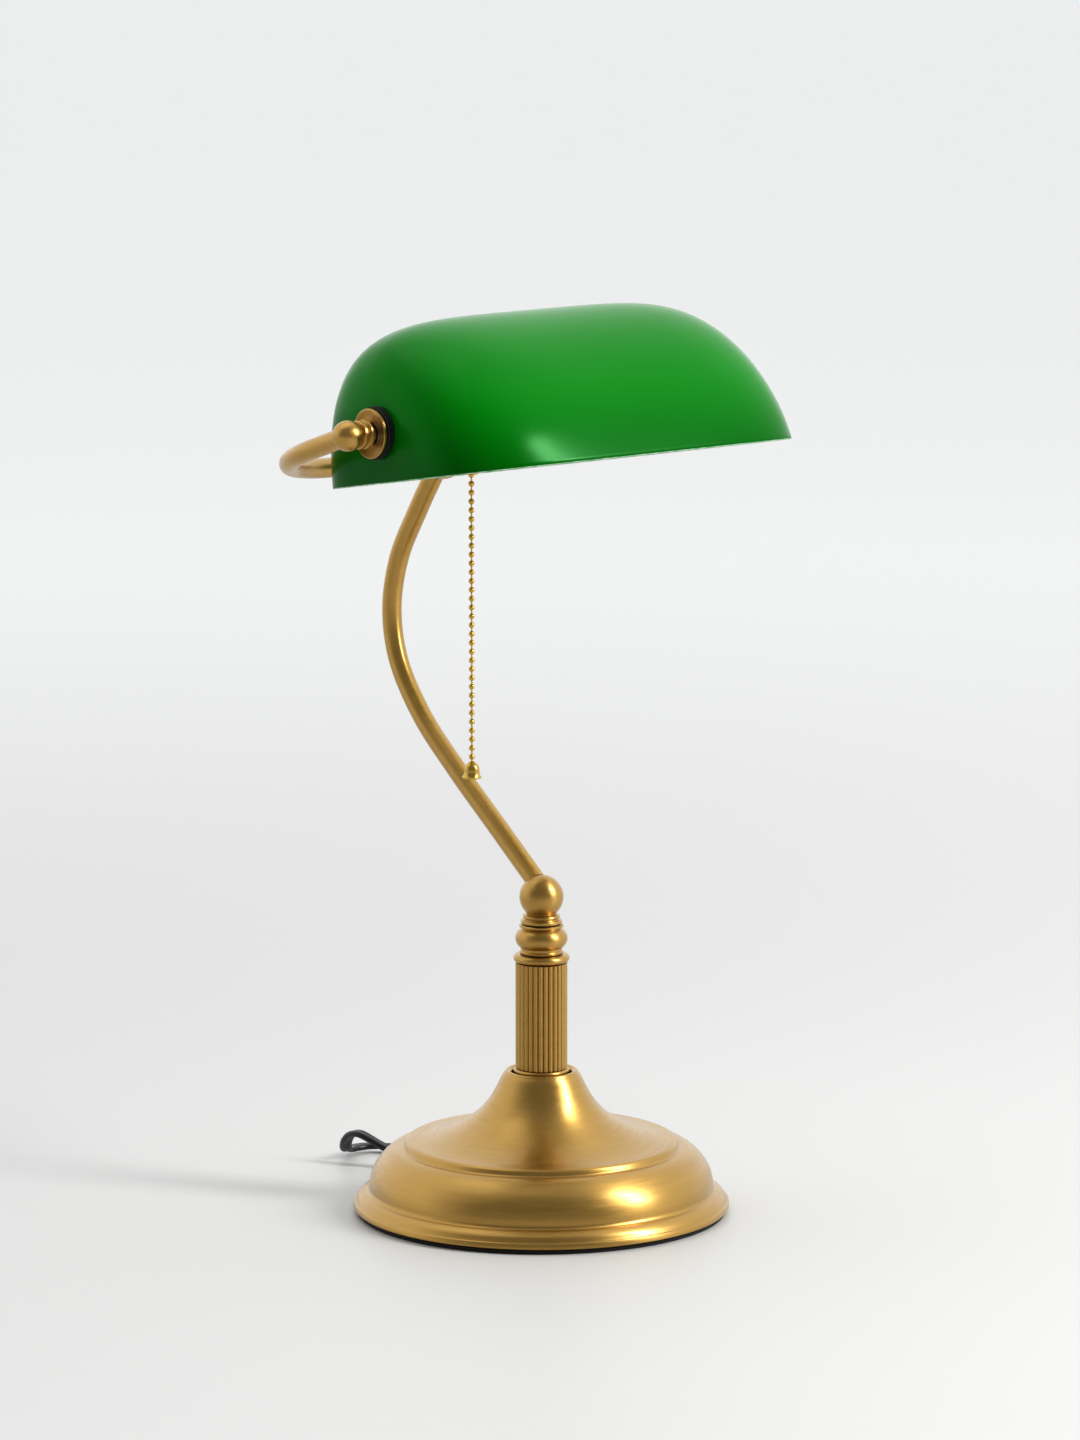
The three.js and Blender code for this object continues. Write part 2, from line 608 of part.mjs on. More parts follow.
// A point of the glass in the given direction at a level, or null above the crown.
function glassPoint(angle, level, inset) {
  const half = glassEnd - inset;
  const front = SHADE_FRONT - inset;
  const back = SHADE_BACK - inset;
  const crown = crownRise - inset;
  const [dx, dy] = [half * Math.cos(angle), (Math.sin(angle) > 0 ? back : front) * Math.sin(angle)];
  const power = Math.sin(angle) > 0 ? BACK_ROUNDING : FRONT_ROUNDING;
  const depth = Math.sin(angle) > 0 ? back : front;
  const reached = (k) => {
    const share = ((Math.abs(k * dy) / depth) ** power + (level / crown) ** power) ** (1 / power);
    return (Math.abs(k * dx) / half) ** END_ROUNDING + share ** END_ROUNDING;
  };
  let [low, high] = [0, 1.6];
  for (let i = 0; i < 40; i += 1) {
    const middle = (low + high) / 2;
    if (reached(middle) < 1) low = middle;
    else high = middle;
  }
  return new THREE.Vector3(low * dx, low * dy, level);
}

// The solid under one glass surface, from the rim's level to the crown, closed flat at the rim.
function loaf(inset, floor) {
  const around = 48;
  const levels = 11;
  const corners = [];
  for (let j = 0; j < levels; j += 1) {
    const crown = crownRise - inset;
    const level = floor + (crown - floor) * Math.sin((j / levels) * (Math.PI / 2));
    for (let i = 0; i < around; i += 1) {
      corners.push(glassPoint(((i + 0.5) * 2 * Math.PI) / around, level, inset));
    }
  }
  const crownIndex = corners.push(new THREE.Vector3(0, 0, crownRise - inset)) - 1;
  const middleIndex = corners.push(new THREE.Vector3(0, 0, floor)) - 1;
  const index = [];
  for (let i = 0; i < around; i += 1) {
    const next = (i + 1) % around;
    for (let j = 0; j + 1 < levels; j += 1) {
      const [a, b] = [j * around + i, j * around + next];
      index.push(a, b, b + around, a, b + around, a + around);
    }
    index.push((levels - 1) * around + i, (levels - 1) * around + next, crownIndex);
    index.push(next, i, middleIndex);
  }
  const geometry = new THREE.BufferGeometry().setFromPoints(corners);
  geometry.setIndex(index);
  return geometry;
}

const pivotHole = drill([-glassEnd - 10, 0, 0], [glassEnd + 10, 0, 0], NIPPLE_RADIUS + RUNNING_GAP)
  .translate(0, pivotLocalY, pivotLocalZ);
const shadeSolid = cut(loaf(0, SHADE_SKIRT), loaf(SHADE_GLASS, SHADE_SKIRT - 5), pivotHole);
shadeSolid.translate(0, -pivotLocalY, -pivotLocalZ);
add(tilting, 'glass_shade', shadeSolid, greenGlass);

// A ring about the tilt axis between two distances from the middle of the shade.
function pivotRing(side, radius, near, far) {
  return toSide(side, layAlongX(tubeRing(radius, NIPPLE_RADIUS + RUNNING_GAP, near, far, 22)));
}

// The rubber gaskets are moulded to the glass that they lie against.
const glassBody = (inset, floor) => loaf(inset, floor).translate(0, -pivotLocalY, -pivotLocalZ);
for (const [side, word] of [[-1, 'left'], [1, 'right']]) {
  const outerBlank = pivotRing(side, GASKET_RADIUS, innerWasherFace, outerGasketFace + GASKET_THICKNESS);
  const innerBlank = pivotRing(side, GASKET_RADIUS, innerGasketFace - GASKET_THICKNESS, glassEnd);
  add(tilting, `outer_gasket_${word}`, cut(outerBlank, glassBody(-GAP, SHADE_SKIRT - 5)), rubber);
  add(tilting, `inner_gasket_${word}`, keep(innerBlank, glassBody(SHADE_GLASS + GAP, SHADE_SKIRT)), rubber);
  const outerWasher = pivotRing(side, WASHER_RADIUS, outerWasherFace, outerWasherFace + WASHER_THICKNESS);
  const innerWasher = pivotRing(side, WASHER_RADIUS, innerWasherFace - WASHER_THICKNESS, innerWasherFace);
  add(tilting, `outer_washer_${word}`, outerWasher, brass);
  add(tilting, `inner_washer_${word}`, innerWasher, brass);
}

// ---------------------------------------------------------------- lampholder and bulb

const holder = new THREE.Group();
holder.position.set(0, pivotY, pivotHeight);
lamp.add(holder);

const capStart = -holderCapEnd;
const holderInner = HOLDER_RADIUS - HOLDER_WALL;
const nippleHole = NIPPLE_RADIUS + GAP;
add(holder, 'holder_cap', layAlongX(turnedRing([
  [nippleHole, capStart],
  [8.5, capStart],
  [13, capStart + 2],
  [15.8, capStart + 5.4],
  [HOLDER_RADIUS, capStart + 9],
  [HOLDER_RADIUS, holderShellStart - GAP],
  [holderInner, holderShellStart - GAP],
  [holderInner - 0.4, capStart + 8.6],
  [13.6, capStart + 5],
  [10.6, capStart + 2.6],
  [nippleHole, capStart + 2.2],
], 28)), brass);

const guideTop = -HOLDER_RADIUS + 3.2;
const guideBottom = -HOLDER_RADIUS - GUIDE_LENGTH;
const guideHole = drill([chainX, 0, 0], [chainX, 0, -HOLDER_RADIUS - 3], GUIDE_RADIUS - 1 + GAP);
const shellTube = tubeRing(HOLDER_RADIUS, holderInner, holderShellStart, holderShellEnd, 32);
add(holder, 'holder_shell', cut(layAlongX(shellTube), guideHole), brass);
const linerOuter = holderInner - GAP;
const linerTube = tubeRing(linerOuter, linerOuter - LINER_WALL, holderShellStart + 2, holderShellEnd - 2, 28);
add(holder, 'holder_liner', cut(layAlongX(linerTube), guideHole), board);

const switchRadius = linerOuter - LINER_WALL - GAP;
const switchStart = holderShellStart + 3;
const switchEnd = switchStart + SWITCH_LENGTH;
const switchSolid = layAlongX(turned([
  [0, switchStart], [switchRadius, switchStart], [switchRadius, switchEnd], [0, switchEnd],
], 24));
const chainWay = drill([chainX, 0, -4], [chainX, 0, -HOLDER_RADIUS], GUIDE_RADIUS + GAP);
add(holder, 'switch_block', cut(switchSolid, chainWay), phenolic);

const screwStart = switchEnd + GAP;
add(holder, 'screw_shell', layAlongX(turnedRing([
  [5, screwStart],
  [SCREW_RADIUS, screwStart],
  [SCREW_RADIUS, screwStart + SCREW_LENGTH],
  [SCREW_RADIUS - SCREW_WALL, screwStart + SCREW_LENGTH],
  [SCREW_RADIUS - SCREW_WALL, screwStart + 0.6],
  [5, screwStart + 0.6],
], 24)), aluminium);
add(holder, 'centre_contact', layAlongX(turned([
  [0, screwStart], [3, screwStart], [2.4, screwStart + 2.4], [0, screwStart + 2.8],
], 16)), brass);

const bulbCapStart = screwStart + 3.4;
const bulbCapEnd = bulbCapStart + 22;
add(holder, 'bulb_cap', layAlongX(turned([
  [0, bulbCapStart],
  [4, bulbCapStart + 0.4],
  [8, bulbCapStart + 3],
  [BULB_CAP_RADIUS, bulbCapStart + 5],
  [BULB_CAP_RADIUS, bulbCapEnd],
  [0, bulbCapEnd],
], 24)), aluminium);
const bulbStart = bulbCapEnd + GAP;
const bulbEnd = bulbStart + BULB_LENGTH;
const bulbTip = (radius) => arc(0, bulbEnd - BULB_RADIUS, radius, radius, 0, 90, 5);
const bulbInner = BULB_RADIUS - BULB_WALL;
add(holder, 'bulb_glass', layAlongX(turned([
  ...bulbTip(bulbInner).reverse(),
  [bulbInner, bulbStart + 5],
  [BULB_CAP_RADIUS - 2.4, bulbStart],
  [BULB_CAP_RADIUS - 0.8, bulbStart],
  [BULB_RADIUS, bulbStart + 5],
  ...bulbTip(BULB_RADIUS),
], 20)), opalGlass);

// The chain guide: a bell-mouthed sleeve held in the wall of the shell.
const chainBore = BEAD_RADIUS + RUNNING_GAP;
add(holder, 'chain_guide', turnedRing([
  [chainBore + 0.8, guideBottom],
  [GUIDE_RADIUS, guideBottom + 1],
  [GUIDE_RADIUS - 0.9, guideBottom + 3],
  [GUIDE_RADIUS - 1, guideTop],
  [chainBore, guideTop],
  [chainBore, guideBottom + 1.6],
], 20).translate(chainX, 0, 0), brightBrass);

// ---------------------------------------------------------------- pull chain

// A run of beads on their wire, hanging from a height; its beads touch nothing at either end.
function beads(count, top) {
  const points = [[0, top]];
  for (let i = 0; i < count; i += 1) {
    const middle = top - (i + 0.5) * BEAD_PITCH;
    points.push([LINK_RADIUS, middle + BEAD_RADIUS * 0.96]);
    points.push([BEAD_RADIUS, middle + BEAD_RADIUS * 0.4]);
    points.push([BEAD_RADIUS, middle - BEAD_RADIUS * 0.4]);
    points.push([LINK_RADIUS, middle - BEAD_RADIUS * 0.96]);
  }
  points.push([LINK_RADIUS, top - count * BEAD_PITCH + GAP]);
  points.push([0, top - count * BEAD_PITCH + GAP]);
  return turned(points.slice().reverse(), 6);
}

const chain = new THREE.Group();
chain.position.set(chainX, pivotY, 0);
lamp.add(chain);
const chainTop = pivotHeight - 10;
const upperTop = chainTop - STUB_BEADS * BEAD_PITCH;
const lowerTop = upperTop - UPPER_BEADS * BEAD_PITCH;
const bellTop = lowerTop - LOWER_BEADS * BEAD_PITCH;
add(chain, 'chain_stub', beads(STUB_BEADS, chainTop), brightBrass);
add(chain, 'chain_upper', beads(UPPER_BEADS, upperTop), brightBrass);
add(chain, 'chain_lower', beads(LOWER_BEADS, lowerTop), brightBrass);
add(chain, 'chain_bell', turned([
  [0, bellTop - BELL_LENGTH],
  [BELL_RIM_RADIUS - 0.4, bellTop - BELL_LENGTH],
  [BELL_RIM_RADIUS, bellTop - BELL_LENGTH + 0.7],
  [BELL_RADIUS, bellTop - BELL_LENGTH + 2.2],
  [BELL_RADIUS - 0.2, bellTop - 3.4],
  [BELL_RADIUS - 1.6, bellTop - 0.9],
  [0, bellTop],
], 20), brightBrass);

// ---------------------------------------------------------------- cord, coil and plug

// The moulded sleeve that the cord leaves the base through.
const reliefTip = exitY + RELIEF_LENGTH;
add(lamp, 'cord_relief', turned([
  [0, -8],
  [4.2, -8],
  [4.2, 1.2],
  [RELIEF_RADIUS, 1.6],
  [RELIEF_RADIUS, 3.4],
  [RELIEF_TIP_RADIUS, RELIEF_LENGTH],
  [0, RELIEF_LENGTH],
], 20).rotateX(-Math.PI / 2).translate(0, exitY, CORD_EXIT_HEIGHT), vinyl);

// A flat length of cord; the section's first axis is its thickness.
function flatCord(points, steps) {
  const [t, w] = [CORD_THICKNESS / 2, CORD_WIDTH / 2];
  const section = new THREE.Shape([
    [t, -w + 1.1], [t, w - 1.1], [t - 0.9, w], [-t + 0.9, w],
    [-t, w - 1.1], [-t, -w + 1.1], [-t + 0.9, -w], [t - 0.9, -w],
  ].map(([x, y]) => new THREE.Vector2(x, y)));
  const curve = new THREE.CatmullRomCurve3(points.map((point) => new THREE.Vector3(...point)));
  return weld(new THREE.ExtrudeGeometry(section, { steps, extrudePath: curve, bevelEnabled: false }));
}

add(lamp, 'cord_run', flatCord([[0, reliefTip + GAP, CORD_EXIT_HEIGHT], ...CORD_RUN], 26), vinyl);
add(lamp, 'cord_coil', turnedRing([
  [COIL_INNER, COIL_LIFT],
  [COIL_OUTER, COIL_LIFT],
  [COIL_OUTER, COIL_TOP],
  [COIL_INNER, COIL_TOP],
], 36).translate(COIL_CENTRE[0], COIL_CENTRE[1], 0), vinyl);
add(lamp, 'cord_tail', flatCord(CORD_TAIL, 8), vinyl);

// The plug lies at the end of the tail and points the way that the tail ends.
const plug = new THREE.Group();
const [beforeLast, last] = CORD_TAIL.slice(-2).map((point) => new THREE.Vector3(...point));
const plugWay = last.clone().sub(beforeLast).setZ(0).normalize();
plug.position.copy(last).addScaledVector(plugWay, GAP);
plug.rotation.z = Math.atan2(-plugWay.x, plugWay.y);
lamp.add(plug);
const plugSide = [
  [-CORD_WIDTH / 2 - 1.4, 0], [CORD_WIDTH / 2 + 1.4, 0], [PLUG_WIDTH / 2, 9],
  [PLUG_WIDTH / 2, PLUG_LENGTH], [-PLUG_WIDTH / 2, PLUG_LENGTH], [-PLUG_WIDTH / 2, 9],
].map(([x, y]) => new THREE.Vector2(x, y));
const plugBody = new THREE.ExtrudeGeometry(new THREE.Shape(plugSide), { depth: PLUG_THICKNESS, bevelEnabled: false });
add(plug, 'plug_body', weld(plugBody.translate(0, 0, -last.z)), vinyl);
for (const [side, word] of [[-1, 'a'], [1, 'b']]) {
  const blade = new THREE.BoxGeometry(BLADE_THICKNESS, BLADE_LENGTH, BLADE_WIDTH);
  blade.translate((side * BLADE_SPACING) / 2, PLUG_LENGTH + GAP + BLADE_LENGTH / 2, PLUG_THICKNESS / 2 - last.z);
  add(plug, `plug_blade_${word}`, blade, brightBrass);
}

export default lamp;
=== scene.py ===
import math

import bmesh
import bpy
from mathutils import Euler, Matrix, Vector


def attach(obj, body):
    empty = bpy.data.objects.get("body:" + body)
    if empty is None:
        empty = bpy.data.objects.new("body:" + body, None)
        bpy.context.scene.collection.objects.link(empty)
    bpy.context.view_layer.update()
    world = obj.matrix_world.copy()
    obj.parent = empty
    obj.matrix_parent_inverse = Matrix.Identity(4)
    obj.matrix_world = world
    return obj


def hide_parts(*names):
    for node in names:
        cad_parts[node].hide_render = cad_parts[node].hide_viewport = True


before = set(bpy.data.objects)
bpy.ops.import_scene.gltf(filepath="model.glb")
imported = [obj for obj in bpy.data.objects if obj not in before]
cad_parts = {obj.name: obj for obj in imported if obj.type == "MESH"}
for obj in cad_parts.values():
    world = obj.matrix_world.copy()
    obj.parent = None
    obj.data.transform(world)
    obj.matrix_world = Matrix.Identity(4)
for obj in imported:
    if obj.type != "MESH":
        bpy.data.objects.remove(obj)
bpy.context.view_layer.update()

# ---------------------------------------------------------------------------
# The room: a pale floor, white walls all round that are dimmer towards the front left,
# and two soft boxes. The camera looks down a little from the front left.
MM = 0.001

camera_data = bpy.data.cameras.new("camera")
camera_data.lens = 166.9
camera_data.sensor_width = 36
camera_data.clip_start = 0.05
camera_data.shift_x = -0.0011
camera_data.shift_y = 0.001
camera = bpy.data.objects.new("camera", camera_data)
camera.location = (-2.0996, -2.5022, 0.8023)
camera.rotation_euler = Vector((0.6338, 0.7553, -0.1671)).to_track_quat("-Z", "Y").to_euler()
bpy.context.scene.collection.objects.link(camera)
bpy.context.scene.camera = camera


def linear(hex_colour, alpha=1.0):
    """An sRGB hex colour as linear values."""
    parts = [int(hex_colour[i:i + 2], 16) / 255 for i in (1, 3, 5)]
    return [p / 12.92 if p <= 0.04045 else ((p + 0.055) / 1.055) ** 2.4 for p in parts] + [alpha]


def add_node(tree, kind, inputs=None, **settings):
    """A node with its settings, and its inputs linked where a socket is given, or else set."""
    node = tree.nodes.new(kind)
    for name, value in settings.items():
        setattr(node, name, value)
    for name, value in (inputs or {}).items():
        if isinstance(value, bpy.types.NodeSocket):
            tree.links.new(value, node.inputs[name])
        else:
            node.inputs[name].default_value = value
    return node


def new_material(name, **constants):
    """A material with a principled shader, and the values that are the same all over it."""
    material = bpy.data.materials.new(name)
    material.use_nodes = True
    shader = material.node_tree.nodes["Principled BSDF"]
    for socket, value in constants.items():
        shader.inputs[socket.replace("_", " ").title().replace("Ior", "IOR")].default_value = value
    return material, material.node_tree, shader


def link(tree, source, target):
    """A link from one socket to another."""
    tree.links.new(source, target)


# Matt white paint. Its colour is painted darker near the lamp and paler far from it: painted light, standing
# in for a floor lit brighter far off, so that it runs into the bright walls.
floor_mesh = bpy.data.meshes.new("floor")
floor_mesh.from_pydata([(-12, -12, 0), (12, -12, 0), (12, 24, 0), (-12, 24, 0)], [], [(0, 1, 2, 3)])
floor = bpy.data.objects.new("floor", floor_mesh)
bpy.context.scene.collection.objects.link(floor)
floor_paint, tree, shader = new_material("matt_white_table", roughness=0.5)
place = add_node(tree, "ShaderNodeTexCoord").outputs["Object"]
distance = add_node(tree, "ShaderNodeVectorMath", {0: place}, operation="LENGTH").outputs["Value"]
# Painted light: this share lightens the floor's colour with distance from the lamp.
painted_light_share = add_node(
    tree, "ShaderNodeMapRange", {"Value": distance, "From Min": 0.4, "From Max": 2.5},
    interpolation_type="SMOOTHSTEP",
).outputs["Result"]
colour = add_node(
    tree, "ShaderNodeMix", {0: painted_light_share, 6: linear("#D0D0CE"), 7: linear("#F6F6F5")}, data_type="RGBA"
).outputs[2]
link(tree, colour, shader.inputs["Base Color"])
floor_mesh.materials.append(floor_paint)

world = bpy.data.worlds.new("white_room")
world.use_nodes = True
bpy.context.scene.world = world
# Plain display tones with a firmer contrast keep the brass and the glass deep in this bright room.
bpy.context.scene.view_settings.view_transform = "Standard"
bpy.context.scene.view_settings.look = "Medium High Contrast"
walls = world.node_tree
direction = add_node(walls, "ShaderNodeTexCoord").outputs["Generated"]
towards_front = add_node(
    walls, "ShaderNodeVectorMath", {0: direction, 1: (-0.63, -0.75, 0.2)}, operation="DOT_PRODUCT"
).outputs["Value"]
dimming = add_node(
    walls, "ShaderNodeMapRange",
    {"Value": towards_front, "From Min": 0.0, "From Max": 0.75, "To Min": 1.08, "To Max": 0.27},
    interpolation_type="SMOOTHSTEP",
).outputs["Result"]
walls.nodes["Background"].inputs["Color"].default_value = linear("#F4F5F6")
link(walls, dimming, walls.nodes["Background"].inputs["Strength"])

LAMP_MIDDLE = Vector((0, 0, 0.2))


def soft_box(name, place, width, height, power):
    """A rectangular light with a diffuser, turned to the middle of the lamp."""
    data = bpy.data.lights.new(name, "AREA")
    data.shape = "RECTANGLE"
    data.size = width
    data.size_y = height
    data.energy = power
    box = bpy.data.objects.new(name, data)
    box.location = place
    box.rotation_euler = (LAMP_MIDDLE - Vector(place)).to_track_quat("-Z", "Y").to_euler()
    box.visible_camera = False
    bpy.context.scene.collection.objects.link(box)


soft_box("soft_box_right", (0.85, -1.35, 1.2), 0.27, 1.1, 24)
soft_box("soft_box_above", (-0.3, 0.3, 1.9), 1.2, 1.2, 2)

# ---------------------------------------------------------------------------
# The cord: 1.8 m of flat twin lamp cord, two stranded leads side by side in soft black vinyl.
# It leaves the back of the base flat, arches over, and turns on edge into a tied round coil.
CORD_WIDTH = 6.4
CORD_THICKNESS = 3.3
CORD_RUN = [
    (0, 96, 8), (0, 104, 8), (0, 111.5, 8), (-1.4, 117, 8.8), (-4.8, 123, 11.6), (-8, 128, 14.6),
    (-10.4, 133.5, 16.7), (-11.4, 138.5, 15.9), (-11, 143, 12.5), (-9.2, 146.8, 8.4), (-6, 150.4, 5.2),
    (-1.4, 153.4, 3.8), (4.4, 154.6, 3.5), (10.2, 153.4, 3.5), (15, 149.8, 3.5), (18.8, 144.2, 3.5),
    (22.2, 136, 3.5), (26.5, 126.5, 3.5), (31.5, 117.5, 3.6), (38, 107.9, 3.6), (46.3, 95.6, 3.6),
]
COIL_CENTRE = (91.9, 109.5)
COIL_RADIUS = 45.5
COIL_PITCH = 3.42
COIL_START = 215
COIL_TURN = 7 * 360 + 106
COIL_STEP = 6
COIL_LEVEL = 3.65
CORD_TAIL = [
    (114.2, 101.6, 7.8), (116.6, 107.5, 9.6), (119.8, 116.2, 10.2), (122.6, 124.3, 10.2),
    (125.5, 132.3, 10), (128.3, 139.1, 9.2), (131.2, 144.5, 7.9), (134.6, 149.5, 6.6),
    (138.5, 154.1, 6), (142, 158.4, 6), (143.4, 160.1, 6),
]


def smooth_path(points, per_span):
    """A smooth curve through the points, centripetal so that it keeps to them closely."""
    p = [Vector(q) for q in points]
    p = [p[0] * 2 - p[1], *p, p[-1] * 2 - p[-2]]
    path = []
    for a, b, c, d in zip(p, p[1:], p[2:], p[3:]):
        t1 = (b - a).length ** 0.5
        t2 = t1 + (c - b).length ** 0.5
        t3 = t2 + (d - c).length ** 0.5
        for i in range(per_span):
            t = t1 + (t2 - t1) * i / per_span
            ab = a.lerp(b, t / t1)
            bc = b.lerp(c, (t - t1) / (t2 - t1))
            cd = c.lerp(d, (t - t2) / (t3 - t2))
            path.append(ab.lerp(bc, t / t2).lerp(bc.lerp(cd, (t - t1) / (t3 - t1)), (t - t1) / (t2 - t1)))
    return path + [p[-2]]


def new_piece(name, verts, faces, material, smooth_angle=35, paint=None):
    """A piece from points in millimetres, with its faces turned outwards."""
    mesh = bpy.data.meshes.new(name)
    mesh.from_pydata([Vector(v) * MM for v in verts], [], faces)
    for finish in material if isinstance(material, list) else [material]:
        mesh.materials.append(finish)
    if paint:
        mesh.polygons.foreach_set("material_index", paint)
    shell = bmesh.new()
    shell.from_mesh(mesh)
    bmesh.ops.remove_doubles(shell, verts=shell.verts, dist=1e-7)
    bmesh.ops.recalc_face_normals(shell, faces=shell.faces)
    shell.to_mesh(mesh)
    shell.free()
    mesh.shade_smooth()
    mesh.set_sharp_from_angle(angle=math.radians(smooth_angle))
    piece = bpy.data.objects.new(name, mesh)
    bpy.context.scene.collection.objects.link(piece)
    return piece


def swept(name, path, section, frames, material, smooth_angle=35):
    """A closed section carried along a path; frames gives the section's two directions at each point."""
    verts, faces = [], []
    count = len(section)
    for place, (across, along) in zip(path, frames):
        verts += [place + across * x + along * y for x, y in section]
    for i in range(len(path) - 1):
        for j in range(count):
            k = (j + 1) % count
            faces.append((i * count + j, i * count + k, (i + 1) * count + k, (i + 1) * count + j))
    faces += [tuple(range(count))[::-1], tuple((len(path) - 1) * count + j for j in range(count))]
    return new_piece(name, verts, faces, material, smooth_angle)


def settle(piece, body, slot, *nodes):
    """The piece moves with a body and stands for these CAD nodes, which it hides. The slot is not used."""
    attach(piece, body)
    if nodes:
        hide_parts(*nodes)
    return piece


# Soft vinyl, extruded: nearly black with a dull sheen, and a faint grain about 1 mm across.
vinyl, tree, shader = new_material(
    "soft_black_vinyl", roughness=0.38, ior=1.52, coat_weight=0.15, coat_roughness=0.3
)
place = add_node(tree, "ShaderNodeTexCoord").outputs["Object"]
grain = add_node(tree, "ShaderNodeTexNoise", {"Vector": place, "Scale": 900, "Detail": 3}).outputs["Fac"]
tint = add_node(
    tree, "ShaderNodeMix", {0: grain, 6: linear("#070708"), 7: linear("#121213")}, data_type="RGBA"
).outputs[2]
link(tree, tint, shader.inputs["Base Color"])
rise = add_node(tree, "ShaderNodeBump", {"Height": grain, "Strength": 0.15, "Distance": 0.0002})
link(tree, rise.outputs["Normal"], shader.inputs["Normal"])

# Coil: a flat spiral on edge, from the outside in, between the run and the tail.
turns = []
for i in range(int(COIL_TURN / COIL_STEP) + 1):
    angle = math.radians(COIL_START + COIL_STEP * i)
    reach = COIL_RADIUS - COIL_PITCH * COIL_STEP * i / 360
    turns.append((
        COIL_CENTRE[0] + reach * math.cos(angle), COIL_CENTRE[1] + reach * math.sin(angle), COIL_LEVEL,
    ))
PER_SPAN = 5
run_line = smooth_path(CORD_RUN + turns[:1], PER_SPAN)[:-1]
coil_line = smooth_path(turns, 1)[:-1]
tail_line = smooth_path(turns[-1:] + CORD_TAIL, PER_SPAN)
cord_line = run_line + coil_line + tail_line
lengths = [0]
for a, b in zip(cord_line, cord_line[1:]):
    lengths.append(lengths[-1] + (b - a).length)


def blend_between(low, high, value):
    """0 below the low value, 1 above the high one, and a smooth step between."""
    share = min(max((value - low) / (high - low), 0), 1)
    return share * share * (3 - 2 * share)


# The cord lies flat at both ends and is rolled on edge in the coil. It rolls between two points of
# the run, and lies down again between a place before the coil ends and one before the plug.
ROLL_FROM, ROLL_TO = 12, 19
STEPS_BEFORE_COIL_END, STEPS_BEFORE_PLUG = 6, 40
on_edge_from, on_edge_to = lengths[ROLL_FROM * PER_SPAN], lengths[ROLL_TO * PER_SPAN]
flat_from = lengths[len(run_line) + len(coil_line) - STEPS_BEFORE_COIL_END]
flat_to = lengths[len(cord_line) - STEPS_BEFORE_PLUG]
cord_frames = []
for i in range(len(cord_line)):
    tangent = (cord_line[min(i + 1, len(cord_line) - 1)] - cord_line[max(i - 1, 0)]).normalized()
    level = tangent.cross(Vector((0, 0, 1))).normalized()
    upward = level.cross(tangent)
    roll = blend_between(on_edge_from, on_edge_to, lengths[i]) - blend_between(flat_from, flat_to, lengths[i])
    turned_by = math.radians(90) * roll
    width_way = level * math.cos(turned_by) + upward * math.sin(turned_by)
    cord_frames.append((width_way, tangent.cross(width_way)))

lobe = CORD_THICKNESS / 2
lobe_centre = CORD_WIDTH / 2 - lobe
twin_section = []
for side in (1, -1):
    for i in range(9):
        angle = math.radians(-125 + 250 * i / 8) if side > 0 else math.radians(55 + 250 * i / 8)
        twin_section.append((side * lobe_centre + lobe * math.cos(angle), lobe * math.sin(angle)))
cord = swept("cord", cord_line, twin_section, cord_frames, vinyl, 60)
settle(cord, "stand", "black_vinyl", "cord_run", "cord_coil", "cord_tail")

# The plug: a moulded two-pin plug with finger ribs, and its two flat blades.
plug_way = (CORD_TAIL[-1][0] - CORD_TAIL[-2][0], CORD_TAIL[-1][1] - CORD_TAIL[-2][1])
plug_turn = Matrix.Rotation(math.atan2(-plug_way[0], plug_way[1]), 4, "Z")
PLUG_START = (142.2, 158.6, 6)
plug_place = Matrix.Translation(PLUG_START) @ plug_turn
PLUG_OUTLINE = [
    (0, 4.2, 3.2), (1.5, 4.6, 3.5), (3, 4.2, 3.1), (4.5, 5.4, 3.9), (6, 5, 3.5), (7.5, 7, 4.6),
    (9, 8.8, 5.2), (11, 10.6, 5.8), (13, 11.4, 6), (21, 11.9, 6), (23.4, 11.6, 5.7), (24, 10.6, 4.9),
]
verts, faces = [], []
CORNERS = 32
SQUARENESS = 0.5
for along, half_width, half_height in PLUG_OUTLINE:
    for i in range(CORNERS):
        angle = 2 * math.pi * i / CORNERS
        c, s = math.cos(angle), math.sin(angle)
        x = half_width * math.copysign(abs(c) ** SQUARENESS, c)
        z = half_height * math.copysign(abs(s) ** SQUARENESS, s)
        verts.append(plug_place @ Vector((x, along, z)))
for i in range(len(PLUG_OUTLINE) - 1):
    for j in range(CORNERS):
        k = (j + 1) % CORNERS
        faces.append((i * CORNERS + j, i * CORNERS + k, (i + 1) * CORNERS + k, (i + 1) * CORNERS + j))
faces += [tuple(range(CORNERS)), tuple(range(len(verts) - CORNERS, len(verts)))]
plug = settle(new_piece("plug", verts, faces, vinyl), "stand", "black_vinyl", "plug_body")

# A twist tie of flat vinyl holds the turns together.
tie_angle = math.radians(70)
tie_out = Vector((math.cos(tie_angle), math.sin(tie_angle), 0))
TIE_MIDDLE = 33
tie_outline = [(18.9, 1), (18.9, 6), (20.4, 7.3), (46, 7.3), (47.5, 6), (47.5, 1), (46.4, 0.25), (20, 0.25)]
verts, faces = [], []
tie_side = Vector((-tie_out.y, tie_out.x, 0))
for half in (-2, 2):
    for grow in (0, 0.35):
        for r, z in tie_outline:
            r_out = r + (grow if r > TIE_MIDDLE else -grow)
            z_out = z + (grow if z > COIL_LEVEL else -grow * 0.6)
            on_coil = tie_out * r_out + tie_side * half
            verts.append(Vector((*COIL_CENTRE, 0)) + on_coil + Vector((0, 0, z_out)))
n = len(tie_outline)
for i in range(n):
    k = (i + 1) % n
    faces += [(i, k, n + k, n + i), (2 * n + i, 2 * n + k, 3 * n + k, 3 * n + i)]
    faces += [(i, k, 2 * n + k, 2 * n + i), (n + i, n + k, 3 * n + k, 3 * n + i)]
tie = settle(new_piece("cord_tie", verts, faces, vinyl), "stand", "black_vinyl")

